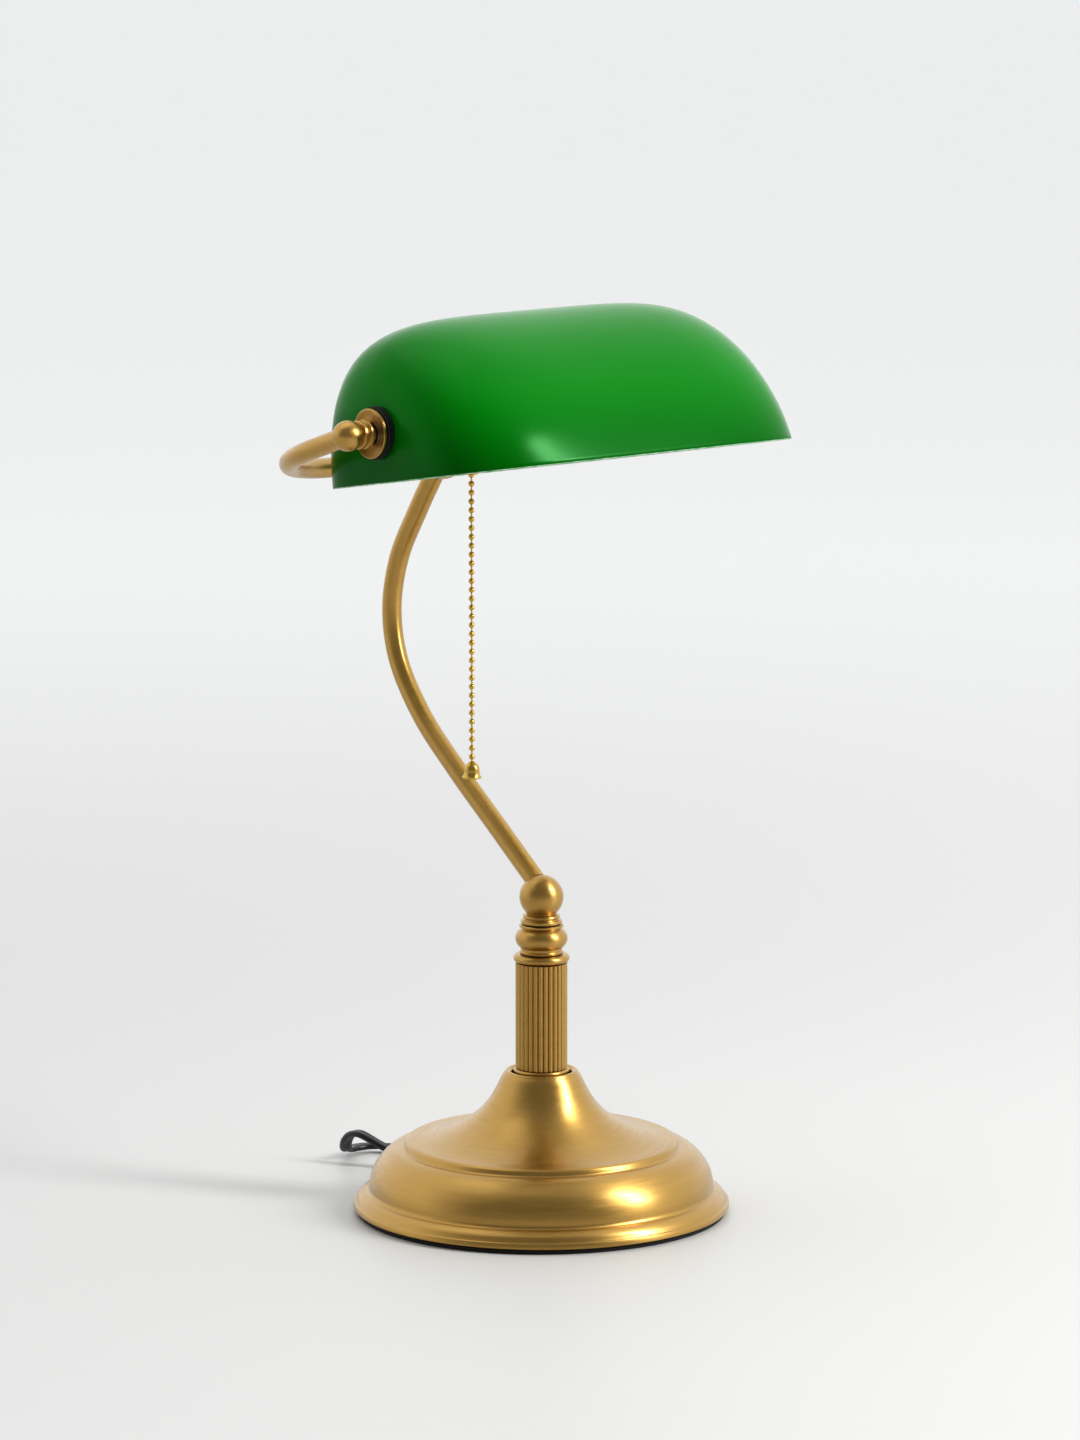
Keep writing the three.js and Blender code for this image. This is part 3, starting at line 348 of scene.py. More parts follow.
# ---------------------------------------------------------------------------
# The strain relief: a tapered vinyl sleeve with flexing ribs, pushed through the wall of the base.


def arc(centre_r, centre_z, radius_r, radius_z, start, end, steps):
    """Points on an arc of an outline, between two angles in degrees."""
    return [
        (
            centre_r + radius_r * math.cos(math.radians(start + (end - start) * i / steps)),
            centre_z + radius_z * math.sin(math.radians(start + (end - start) * i / steps)),
        )
        for i in range(steps + 1)
    ]


def turned(name, outline, material, place=Matrix.Identity(4), sides=96, closed=False, smooth_angle=30):
    """A body turned on a lathe about its own Z from (radius, height) points, then put in its place."""
    verts, rings = [], []
    for r, z in outline:
        if r < 1e-4:
            rings.append([len(verts)] * sides)
            verts.append(place @ Vector((0, 0, z)))
        else:
            rings.append(list(range(len(verts), len(verts) + sides)))
            for i in range(sides):
                angle = 2 * math.pi * i / sides
                verts.append(place @ Vector((r * math.cos(angle), r * math.sin(angle), z)))
    faces = []
    pairs = list(zip(rings, rings[1:])) + ([(rings[-1], rings[0])] if closed else [])
    for low, high in pairs:
        for i in range(sides):
            k = (i + 1) % sides
            face = list(dict.fromkeys((low[i], low[k], high[k], high[i])))
            if len(face) > 2:
                faces.append(face)
    return new_piece(name, verts, faces, material, smooth_angle)


BASE_RADIUS = 94.2
relief_place = Matrix.Translation((0, BASE_RADIUS, 8)) @ Matrix.Rotation(math.radians(-90), 4, "X")
relief_outline = [(0, -7.8), (4.1, -7.8), (4.1, 1.4), (4.85, 1.7), (4.85, 3.2)]
RIB_PITCH = 2.4
for i in range(5):
    taper = 4.75 - 0.17 * i
    low = 4 + RIB_PITCH * i
    relief_outline += [(taper, low), (taper, low + 1.2), (taper - 0.5, low + 1.5), (taper - 0.5, low + 2)]
relief_outline += [(3.85, 16.2), (3.5, 16.9), (0, 16.9)]
relief = turned("strain_relief", relief_outline, vinyl, relief_place, 32)
settle(relief, "stand", "black_vinyl", "cord_relief")

# ---------------------------------------------------------------------------
# Satin brass: spun or turned, brushed while it turned, and lacquered. The brushing runs round
# each piece, so highlights stretch across it, and the lacquer adds a fainter, sharper one.


def upright_axis(axis_turn):
    """The axis that axis_turn brings upright, in the object's own directions."""
    return Euler(axis_turn).to_matrix().inverted() @ Vector((0, 0, 1))


def brushed_brass(name, centre=(0, 0, 0), axis_turn=(0, 0, 0), line_scale=1.0):
    """Brass brushed round an axis through the centre; axis_turn brings that axis upright."""
    brass, tree, shader = new_material(
        name, metallic=1.0, roughness=0.3, anisotropic=0.55, anisotropic_rotation=0.25, coat_weight=0.35,
        coat_roughness=0.22,
    )
    place = add_node(tree, "ShaderNodeTexCoord").outputs["Object"]
    moved = add_node(tree, "ShaderNodeVectorMath", {0: place, 1: Vector(centre) * MM}, operation="SUBTRACT")
    upright = add_node(
        tree, "ShaderNodeVectorRotate", {"Vector": moved.outputs["Vector"], "Rotation": axis_turn},
        rotation_type="EULER_XYZ",
    ).outputs["Vector"]
    parts = add_node(tree, "ShaderNodeSeparateXYZ", {"Vector": upright})
    flat = add_node(
        tree, "ShaderNodeCombineXYZ", {"X": parts.outputs["X"], "Y": parts.outputs["Y"], "Z": 0.0}
    ).outputs["Vector"]
    reach = add_node(tree, "ShaderNodeVectorMath", {0: flat}, operation="LENGTH").outputs["Value"]
    bearing = add_node(
        tree, "ShaderNodeMath", {0: parts.outputs["Y"], 1: parts.outputs["X"]}, operation="ARCTAN2"
    ).outputs["Value"]
    # One radian counts as 4 mm, so the marks are drawn out round the axis.
    drawn_out = add_node(
        tree, "ShaderNodeMath", {0: bearing, 1: 0.004}, operation="MULTIPLY"
    ).outputs["Value"]
    lathe_place = add_node(
        tree, "ShaderNodeCombineXYZ", {"X": reach, "Y": drawn_out, "Z": parts.outputs["Z"]}
    ).outputs["Vector"]
    # Brush marks are about 0.05 mm apart on the real one; these are 0.8 mm or more so that they show.
    lines = add_node(
        tree, "ShaderNodeTexNoise",
        {"Vector": lathe_place, "Scale": 1250.0 * line_scale, "Detail": 4.0, "Roughness": 0.7},
    ).outputs["Fac"]
    bands = add_node(
        tree, "ShaderNodeTexNoise", {"Vector": lathe_place, "Scale": 420.0 * line_scale, "Detail": 3.0}
    ).outputs["Fac"]
    clouds = add_node(
        tree, "ShaderNodeTexNoise", {"Vector": place, "Scale": 22.0, "Detail": 3.0}
    ).outputs["Fac"]
    warm = add_node(
        tree, "ShaderNodeMix", {0: clouds, 6: linear("#B99551"), 7: linear("#AE8B49")}, data_type="RGBA"
    ).outputs[2]
    worn = add_node(
        tree, "ShaderNodeMix", {0: bands, 6: linear("#A98543"), 7: linear("#C6A05B")}, data_type="RGBA"
    ).outputs[2]
    both = add_node(
        tree, "ShaderNodeMix", {0: 0.5, 6: warm, 7: worn}, data_type="RGBA"
    ).outputs[2]
    link(tree, both, shader.inputs["Base Color"])
    dullness = add_node(
        tree, "ShaderNodeMapRange",
        {"Value": lines, "From Min": 0.3, "From Max": 0.7, "To Min": 0.28, "To Max": 0.42},
    ).outputs["Result"]
    link(tree, dullness, shader.inputs["Roughness"])
    rise = add_node(tree, "ShaderNodeBump", {"Height": lines, "Strength": 0.3, "Distance": 0.00006})
    link(tree, rise.outputs["Normal"], shader.inputs["Normal"])
    around = add_node(
        tree, "ShaderNodeVectorMath", {0: upright_axis(axis_turn), 1: moved.outputs["Vector"]},
        operation="CROSS_PRODUCT",
    ).outputs["Vector"]
    tangent = add_node(tree, "ShaderNodeVectorMath", {0: around}, operation="NORMALIZE").outputs["Vector"]
    link(tree, tangent, shader.inputs["Tangent"])
    return brass


spun_brass = brushed_brass("spun_brass")

# ---------------------------------------------------------------------------
# The foot pad: a disc of black rubber glued under the base, with a soft pressed edge.
PAD_RADIUS = 92.5
# Pressed rubber: nearly black and dull, with a dusty grain.
rubber, tree, shader = new_material("pressed_black_rubber", roughness=0.75, ior=1.5)
place = add_node(tree, "ShaderNodeTexCoord").outputs["Object"]
dust = add_node(tree, "ShaderNodeTexNoise", {"Vector": place, "Scale": 600.0, "Detail": 4.0}).outputs["Fac"]
colour = add_node(
    tree, "ShaderNodeMix", {0: dust, 6: linear("#0C0C0C"), 7: linear("#222221")}, data_type="RGBA"
).outputs[2]
link(tree, colour, shader.inputs["Base Color"])
rise = add_node(tree, "ShaderNodeBump", {"Height": dust, "Strength": 0.3, "Distance": 0.0002})
link(tree, rise.outputs["Normal"], shader.inputs["Normal"])
pad = turned(
    "base_pad",
    [(0, 0.02), (PAD_RADIUS - 0.4, 0.02), (PAD_RADIUS, 0.4), (PAD_RADIUS, 1.7),
     (PAD_RADIUS - 0.3, 1.98), (0, 1.98)],
    rubber, sides=192,
)
settle(pad, "stand", "black_rubber", "foot_pad")

# ---------------------------------------------------------------------------
# The base: one sheet of brass spun over a form, from the foot band over the dome and a
# step to the trumpet neck, whose rolled lip takes the column. A weight is clamped inside.


def smooth_outline(points, per_span):
    """The same smooth curve, for (radius, height) points."""
    return [(p.x, p.y) for p in smooth_path([(r, z, 0) for r, z in points], per_span)]


BASE_OUTER = (
    [(93.5, 2.4), (94.1, 2.9), (94.1, 5.3), (93.7, 5.75), (93.1, 5.85), (92.9, 6.15)]
    + smooth_outline([(92.9, 6.15), (91.6, 8.4), (89.2, 10.3), (87.1, 11.2), (86.4, 12.3)], 4)[1:-1]
    + smooth_outline([
        (86.4, 12.3), (86.1, 16), (84.9, 20.4), (82.4, 25), (78.8, 29), (75, 31.8), (71.8, 32.9),
        (70, 33.1), (69.1, 33.6), (68.6, 34.7), (68.1, 35.7), (67, 36.45), (65.4, 36.7), (60, 37.4),
        (50, 40.1), (40, 44.8), (32, 50.4), (26.4, 56.9), (22.4, 63.8), (19.6, 69.4), (18.3, 71.2),
    ], 6)[:-1]
    + arc(17, 71.2, 1.3, 0.95, 0, 150, 6)
)
BASE_INNER = [(15.2, 71), (15.2, 69.5), (18.6, 66), (21.2, 62.4), (25.2, 55.9), (31, 49.2), (39.2, 43.4),
              (49.6, 38.8), (59.8, 36.1), (66.4, 35.3), (67.6, 32), (71.6, 31.6), (78, 27.8), (81.4, 24),
              (83.7, 19.6), (84.9, 15.6), (85, 11.6), (90.5, 7.4), (92.4, 5), (92.4, 2.4)]
base = turned("base_shell_spun", BASE_OUTER + BASE_INNER, spun_brass, sides=256, closed=True, smooth_angle=42)
settle(base, "stand", "satin_brass", "base_shell")

# ---------------------------------------------------------------------------
# Inside the base: a cast iron weight, black from its paint, and the zinc plated rod, nut and
# washer that pull the whole column together. The CAD's own meshes get their finishes here.
# Cast iron: dull black paint over a sandy skin, with grains about 1 mm across.
iron, tree, shader = new_material("painted_cast_iron", metallic=0.0, roughness=0.7)
place = add_node(tree, "ShaderNodeTexCoord").outputs["Object"]
sand = add_node(tree, "ShaderNodeTexNoise", {"Vector": place, "Scale": 900.0, "Detail": 5.0}).outputs["Fac"]
colour = add_node(
    tree, "ShaderNodeMix", {0: sand, 6: linear("#1E1E20"), 7: linear("#3A3A3C")}, data_type="RGBA"
).outputs[2]
link(tree, colour, shader.inputs["Base Color"])
rise = add_node(tree, "ShaderNodeBump", {"Height": sand, "Strength": 0.5, "Distance": 0.0004})
link(tree, rise.outputs["Normal"], shader.inputs["Normal"])

# Zinc plate: pale grey, with a faint crystal pattern drawn 2 mm wide so that it shows.
zinc, tree, shader = new_material("zinc_plated_steel", metallic=1.0, roughness=0.35)
place = add_node(tree, "ShaderNodeTexCoord").outputs["Object"]
spangle = add_node(tree, "ShaderNodeTexVoronoi", {"Vector": place, "Scale": 500.0}).outputs["Distance"]
colour = add_node(
    tree, "ShaderNodeMix", {0: spangle, 6: linear("#A3A6A8"), 7: linear("#BDBFC0")}, data_type="RGBA"
).outputs[2]
link(tree, colour, shader.inputs["Base Color"])

for node, finish in (
    ("base_weight", iron), ("rod_washer", zinc), ("rod_nut", zinc), ("threaded_rod", zinc),
    ("pivot_nipple_left", zinc), ("pivot_nipple_right", zinc),
):
    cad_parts[node].data.materials.clear()
    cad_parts[node].data.materials.append(finish)

# ---------------------------------------------------------------------------
# The column: a seat ring, a brass tube rolled with thirty convex reeds, a half-round cap
# ring, a bun and a ball on a stepped collar, all turned and threaded on the same rod.
REEDS = 30
COLUMN_RADIUS = 13
COLUMN_LOW, COLUMN_HIGH = 73.4, 126.9

seat = turned(
    "column_seat_ring",
    [(5.4, 70.7)] + arc(12.9, 71.9, 1.2, 1.2, -90, 90, 10) + [(5.4, 73.1)],
    spun_brass, closed=True,
)
settle(seat, "stand", "satin_brass", "column_seat")


def new_tree(name, sizes):
    """A geometry tree with named number inputs, and its group input node."""
    tree = bpy.data.node_groups.new(name, "GeometryNodeTree")
    for size, kind in sizes.items():
        tree.interface.new_socket(size, in_out="INPUT", socket_type=kind)
    tree.interface.new_socket("Geometry", in_out="OUTPUT", socket_type="NodeSocketGeometry")
    return tree, add_node(tree, "NodeGroupInput").outputs


def grown(name, tree, values, smooth_angle=40):
    """The mesh that a geometry tree makes with these values, as a plain piece."""
    piece = bpy.data.objects.new(name, bpy.data.meshes.new(name))
    bpy.context.scene.collection.objects.link(piece)
    modifier = piece.modifiers.new("tree", "NODES")
    modifier.node_group = tree
    for socket in tree.interface.items_tree:
        if socket.name in values:
            modifier[socket.identifier] = values[socket.name]
    bpy.context.view_layer.update()
    made = bpy.data.meshes.new_from_object(piece.evaluated_get(bpy.context.evaluated_depsgraph_get()))
    piece.modifiers.remove(modifier)
    piece.data = made
    made.name = name
    made.shade_smooth()
    made.set_sharp_from_angle(angle=math.radians(smooth_angle))
    return piece


reed_tree, sizes = new_tree("reeded_tube", {
    "Reeds": "NodeSocketInt", "Pitch Radius": "NodeSocketFloat", "Reed Radius": "NodeSocketFloat",
    "Length": "NodeSocketFloat", "Middle": "NodeSocketVector",
})
ring = add_node(
    reed_tree, "GeometryNodeMeshCircle", {"Vertices": sizes["Reeds"], "Radius": sizes["Pitch Radius"]}
)
reed = add_node(
    reed_tree, "GeometryNodeMeshCylinder",
    {"Vertices": 20, "Side Segments": 1, "Radius": sizes["Reed Radius"], "Depth": sizes["Length"]},
)
reeds = add_node(
    reed_tree, "GeometryNodeInstanceOnPoints", {"Points": ring.outputs[0], "Instance": reed.outputs[0]}
)
core = add_node(
    reed_tree, "GeometryNodeMeshCylinder",
    {"Vertices": 90, "Side Segments": 1, "Radius": sizes["Pitch Radius"], "Depth": sizes["Length"]},
)
both = add_node(reed_tree, "GeometryNodeJoinGeometry")
link(reed_tree, reeds.outputs[0], both.inputs[0])
link(reed_tree, core.outputs[0], both.inputs[0])
moved = add_node(
    reed_tree, "GeometryNodeTransform", {"Geometry": both.outputs[0], "Translation": sizes["Middle"]}
)
real = add_node(reed_tree, "GeometryNodeRealizeInstances", {"Geometry": moved.outputs[0]})
painted = add_node(
    reed_tree, "GeometryNodeSetMaterial", {"Geometry": real.outputs[0], "Material": spun_brass}
)
link(reed_tree, painted.outputs[0], add_node(reed_tree, "NodeGroupOutput").inputs[0])
reed_radius = math.pi * COLUMN_RADIUS / REEDS * 0.97
column = grown("column_reeds", reed_tree, {
    "Reeds": REEDS, "Pitch Radius": (COLUMN_RADIUS - reed_radius) * MM, "Reed Radius": reed_radius * MM,
    "Length": (COLUMN_HIGH - COLUMN_LOW) * MM, "Middle": (0, 0, (COLUMN_LOW + COLUMN_HIGH) / 2 * MM),
})
settle(column, "stand", "satin_brass", "reeded_column")

cap_ring = turned(
    "column_ring",
    [(5.4, 127.2), (11.6, 127.2)] + arc(11.9, 129.3, 2.15, 2.05, -90, 90, 14) + [(5.4, 131.4)],
    spun_brass, closed=True,
)
settle(cap_ring, "stand", "satin_brass", "column_cap_ring")

bun = turned(
    "bun",
    [(5.4, 131.9), (10.8, 131.9), (10.9, 132.6), (10.3, 133.3)]
    + arc(7.6, 139.2, 5.45, 5.45, -60, 62, 18)
    + [(9.9, 144.4), (10.5, 144.8), (11.1, 145.3), (11.1, 145.9), (10.6, 146.3), (5.4, 146.3)],
    spun_brass, closed=True,
)
settle(bun, "stand", "satin_brass", "column_bun")

BALL_RADIUS = 11
BALL_HEIGHT = 160.2
collar_and_ball = [
    (0, 146.8), (9.8, 146.8), (10.3, 147.2), (10.3, 148.2), (9.9, 148.7), (9, 148.9), (8.7, 149.3),
    (9.1, 149.7), (9.3, 150.4), (9, 151.1), (8.2, 151.4), (7.4, 151.7),
] + arc(0, BALL_HEIGHT, BALL_RADIUS, BALL_RADIUS, -47, 90, 40)
ball = turned("stem_foot_ball", collar_and_ball[:-1] + [(0, BALL_HEIGHT + BALL_RADIUS)], spun_brass)
settle(ball, "stand", "satin_brass", "stem_ball")

# ---------------------------------------------------------------------------
# The stem: one brass tube, 10 mm across, bent in an S and soldered between two balls.
TUBE_RADIUS = 5
JUNCTION = (0, 77, 373.95)
drawn_brass = brushed_brass("drawn_brass_tube", line_scale=0.5)
STEM_FOOT = 164.35
stem_route = [(0, 4, STEM_FOOT + 3.1)]
for back, rise_by in (
    (34, 26.2), (66, 50.8), (95, 76.1), (113.5, 102.6), (118.3, 127.6), (112.5, 153.6), (97, 180.1),
):
    stem_route.append((0, back, STEM_FOOT + rise_by))
stem_route.append((0, JUNCTION[1] + 2.2, JUNCTION[2] - 3.3))


def tube(name, path, radius, material, sides=40):
    """A round bar along a path, with a frame that doesn't twist."""
    frames = []
    across = Vector((1, 0, 0))
    for i in range(len(path)):
        tangent = (path[min(i + 1, len(path) - 1)] - path[max(i - 1, 0)]).normalized()
        if abs(across.dot(tangent)) > 0.9:
            across = Vector((0, 1, 0))
        across = (across - tangent * across.dot(tangent)).normalized()
        frames.append((across, tangent.cross(across)))
    section = [
        (radius * math.cos(2 * math.pi * i / sides), radius * math.sin(2 * math.pi * i / sides))
        for i in range(sides)
    ]
    return swept(name, path, section, frames, material, 50)


stem = tube("stem", smooth_path(stem_route, 18), TUBE_RADIUS, drawn_brass)
settle(stem, "stand", "satin_brass", "stem_tube")

# ---------------------------------------------------------------------------
# The yoke: two bent arms of the same tube from a ball on the stem to a ball at each end of
# the shade. Each end ball has a turned neck with two rings.
PIVOT = (0, -11, 402.95)
END_BALL_X = 130.2
YOKE_BEND = 66
ARM_START, ARM_FINISH = 3.6, 7
END_BALL_RADIUS = 7.55
JUNCTION_RADIUS = 11.75

junction_place = Matrix.Translation(JUNCTION)
junction = turned(
    "junction",
    [(0, -JUNCTION_RADIUS)] + arc(0, 0, JUNCTION_RADIUS, JUNCTION_RADIUS, -87, 87, 44)
    + [(0, JUNCTION_RADIUS)],
    spun_brass, junction_place,
)
settle(junction, "stand", "satin_brass", "junction_ball")

arm_run = Vector((0, JUNCTION[1] - PIVOT[1], JUNCTION[2] - PIVOT[2]))
arm_length = arm_run.length
arm_way = arm_run.normalized()
for side, word in ((-1, "left"), (1, "right")):
    end_ball = Vector((side * END_BALL_X, *PIVOT[1:]))
    path = [end_ball + arm_way * along for along in (ARM_START, 12, arm_length - YOKE_BEND)]
    for i in range(1, 31):
        angle = math.pi / 2 * i / 30
        along = arm_length - YOKE_BEND + YOKE_BEND * math.sin(angle)
        across = END_BALL_X - YOKE_BEND + YOKE_BEND * math.cos(angle)
        path.append(Vector((side * across, *PIVOT[1:])) + arm_way * along)
    path.append(Vector((side * ARM_FINISH, *JUNCTION[1:])))
    arm = tube(f"yoke_{word}", path, TUBE_RADIUS, drawn_brass)
    settle(arm, "stand", "satin_brass", f"yoke_arm_{word}")

turned_brass = brushed_brass("turned_brass_pivots", PIVOT, (0, math.radians(90), 0))
end_outline = (
    [(0, -END_BALL_RADIUS)] + arc(0, 0, END_BALL_RADIUS, END_BALL_RADIUS, -86, 38, 30)
    + [(5.7, 5), (6.6, 5.3), (7, 5.8), (7.05, 7.2), (6.7, 7.8), (6, 8.1), (5.8, 8.5), (6.3, 8.9), (7.1, 9.3),
       (7.25, 10), (7.2, 10.8), (6.7, 11.3), (5.9, 11.6), (5.6, 12.3), (0, 12.3)]
)


def at_pivot(side, x):
    """The place of a piece that is turned about the tilt axis, its own +Z pointing to the middle."""
    return Matrix.Translation((side * x, *PIVOT[1:])) @ Matrix.Rotation(math.radians(-90 * side), 4, "Y")


for side, word in ((-1, "left"), (1, "right")):
    end = turned(f"yoke_ball_{word}", end_outline, turned_brass, at_pivot(side, END_BALL_X), 64)
    settle(end, "stand", "satin_brass", f"end_ball_{word}")

# ---------------------------------------------------------------------------
# The shade: cased glass, blown in a mould, white inside and deep green outside, about 4 mm
# thick. Its rim is ground flat, so a pale edge with small chips shows under the green.
SHADE_TILT = 9.8
HALF_LENGTH, FRONT, BACK, CROWN = 112.5, 82.9, 51.3, 87.9
RIM_LEVEL = 10.6
PIVOT_LEVEL, PIVOT_BACK = 35.1, -9.2
END_POWER, FRONT_POWER, BACK_POWER = 4.8, 1.7, 2.5
GLASS = 4
BEVEL_WIDTH, BEVEL_HEIGHT = 0.45, 0.5
MIDDLE_SHARE = 0.93
MIDDLE_STATIONS, END_STATIONS, ACROSS = 30, 44, 50

tilted = (
    Matrix.Translation(PIVOT) @ Matrix.Rotation(math.radians(-SHADE_TILT), 4, "X")
    @ Matrix.Translation((0, -PIVOT_BACK, -PIVOT_LEVEL))
)


def shrink_at(share):
    """The size left at a share of the half length; the same curve gives the share at a size."""
    return (1 - share ** END_POWER) ** (1 / END_POWER)


def glass_wall(inset, rim):
    """Rows of points over one glass surface, each from the back rim over the top to the front rim."""
    half, front, back, crown = HALF_LENGTH - inset, FRONT - inset, BACK - inset, CROWN - inset
    stations = [(MIDDLE_SHARE * i / MIDDLE_STATIONS, None) for i in range(MIDDLE_STATIONS)]
    first, last = shrink_at(MIDDLE_SHARE), rim / crown
    for i in range(END_STATIONS + 1):
        size = first + (last - first) * i / END_STATIONS
        stations.append((shrink_at(size), size))
    stations = [(-x, size) for x, size in stations[:0:-1]] + stations
    rows = []
    for x, size in stations:
        size = shrink_at(abs(x)) if size is None else size
        row = []
        for depth, power, sign in ((back, BACK_POWER, 1), (front, FRONT_POWER, -1)):
            lowest = math.asin(min((rim / (crown * size)) ** (power / 2), 1))
            for i in range(ACROSS):
                angle = lowest + (math.pi / 2 - lowest) * (i / ACROSS if sign > 0 else 1 - i / ACROSS)
                if sign < 0 and i == 0:
                    angle = math.pi / 2
                y = sign * depth * size * max(math.cos(angle), 0) ** (2 / power)
                row.append(tilted @ Vector((x * half, y, crown * size * math.sin(angle) ** (2 / power))))
        lowest = math.asin(min((rim / (crown * size)) ** (FRONT_POWER / 2), 1))
        y = -front * size * max(math.cos(lowest), 0) ** (2 / FRONT_POWER)
        row.append(tilted @ Vector((x * half, y, rim)))
        rows.append(row)
    return rows


def rim_loop(rows):
    """Where each point of the edge stands in its rows: along the back, then along the front."""
    wide = len(rows[0])
    return [i * wide for i in range(len(rows))] + [i * wide + wide - 1 for i in range(len(rows) - 1, -1, -1)]


verts, faces, paint = [], [], []
walls_made = [
    glass_wall(0, RIM_LEVEL + BEVEL_HEIGHT), glass_wall(BEVEL_WIDTH, RIM_LEVEL),
    glass_wall(GLASS - BEVEL_WIDTH, RIM_LEVEL), glass_wall(GLASS, RIM_LEVEL + BEVEL_HEIGHT),
]
wide = len(walls_made[0][0])
starts = []
for rows, whole, finish in zip(walls_made, (True, False, False, True), (0, 1, 1, 2)):
    starts.append(len(verts))
    verts += [point for row in rows for point in row]
    if whole:
        for i in range(len(rows) - 1):
            for j in range(wide - 1):
                corner = starts[-1] + i * wide + j
                faces.append((corner, corner + wide, corner + wide + 1, corner + 1))
                paint.append(finish)
edge = rim_loop(walls_made[0])
for low, high in zip(starts, starts[1:]):
    for a, b in zip(edge, edge[1:] + edge[:1]):
        if a != b:
            faces.append((low + a, low + b, high + b, high + a))
            paint.append(1)

# Cased glass: a deep green skin over white. Its reflections are set weaker than real glass has them,
# and tinted green, so that the green stays deep in this bright room.
green, tree, shader = new_material("green_cased_glass", roughness=0.22, ior=1.45, specular_ior_level=0.25)
shader.inputs["Specular Tint"].default_value = linear("#8CFFA0")
place = add_node(tree, "ShaderNodeTexCoord").outputs["Object"]
depth_of_colour = add_node(
    tree, "ShaderNodeTexNoise", {"Vector": place, "Scale": 9.0, "Detail": 2.0}
).outputs["Fac"]
# The green is painted darker near the rim and paler over the crown: painted shade and light, for light that
# falls from above.
height = add_node(tree, "ShaderNodeSeparateXYZ", {"Vector": place}).outputs["Z"]
# Painted shade and light: the blend by height from the shaded rim green up to the lit crown green.
painted_shade_blend = add_node(
    tree, "ShaderNodeMapRange", {"Value": height, "From Min": 0.375, "From Max": 0.43},
    interpolation_type="SMOOTHSTEP",
).outputs["Result"]
# Painted shade: the darker green near the rim.
shaded_rim_green = add_node(
    tree, "ShaderNodeMix", {0: depth_of_colour, 6: linear("#004F06"), 7: linear("#005A09")}, data_type="RGBA"
).outputs[2]
# Painted light: the paler green over the crown.
lit_crown_green = add_node(
    tree, "ShaderNodeMix", {0: depth_of_colour, 6: linear("#00720A"), 7: linear("#00850F")}, data_type="RGBA"
).outputs[2]
colour = add_node(
    tree, "ShaderNodeMix", {0: painted_shade_blend, 6: shaded_rim_green, 7: lit_crown_green}, data_type="RGBA"
).outputs[2]
link(tree, colour, shader.inputs["Base Color"])
# Mould-blown glass is never quite even: waves about 60 mm long, up to a quarter of a millimetre high.
waves = add_node(tree, "ShaderNodeTexNoise", {"Vector": place, "Scale": 16.0, "Detail": 1.0}).outputs["Fac"]
rise = add_node(tree, "ShaderNodeBump", {"Height": waves, "Strength": 0.25, "Distance": 0.001})
link(tree, rise.outputs["Normal"], shader.inputs["Normal"])

# Ground glass: the cut edge of the two layers, frosted pale green, with 4 mm chips.
ground, tree, shader = new_material("ground_glass_edge", ior=1.52)
place = add_node(tree, "ShaderNodeTexCoord").outputs["Object"]
chips = add_node(tree, "ShaderNodeTexVoronoi", {"Vector": place, "Scale": 260.0}).outputs["Distance"]
colour = add_node(
    tree, "ShaderNodeMix", {0: chips, 6: linear("#C9E2CB"), 7: linear("#3E8F4C")}, data_type="RGBA"
).outputs[2]
link(tree, colour, shader.inputs["Base Color"])
frosting = add_node(
    tree, "ShaderNodeMapRange",
    {"Value": chips, "From Min": 0.0, "From Max": 0.6, "To Min": 0.15, "To Max": 0.5},
).outputs["Result"]
link(tree, frosting, shader.inputs["Roughness"])
rise = add_node(tree, "ShaderNodeBump", {"Height": chips, "Strength": 0.6, "Distance": 0.0005})
link(tree, rise.outputs["Normal"], shader.inputs["Normal"])

# Opal glass: milky white and glossy, with a little light inside it.
opal, tree, shader = new_material("white_opal_lining", roughness=0.2, ior=1.52, subsurface_weight=0.2)
shader.inputs["Subsurface Radius"].default_value = (0.004, 0.004, 0.003)
place = add_node(tree, "ShaderNodeTexCoord").outputs["Object"]
milk = add_node(tree, "ShaderNodeTexNoise", {"Vector": place, "Scale": 30.0, "Detail": 3.0}).outputs["Fac"]
colour = add_node(
    tree, "ShaderNodeMix", {0: milk, 6: linear("#F4F2EA"), 7: linear("#ECEFE6")}, data_type="RGBA"
).outputs[2]
link(tree, colour, shader.inputs["Base Color"])

shade = new_piece("shade_glass", verts, faces, [green, ground, opal], 60, paint)
settle(shade, "shade", "green_glass", "glass_shade")

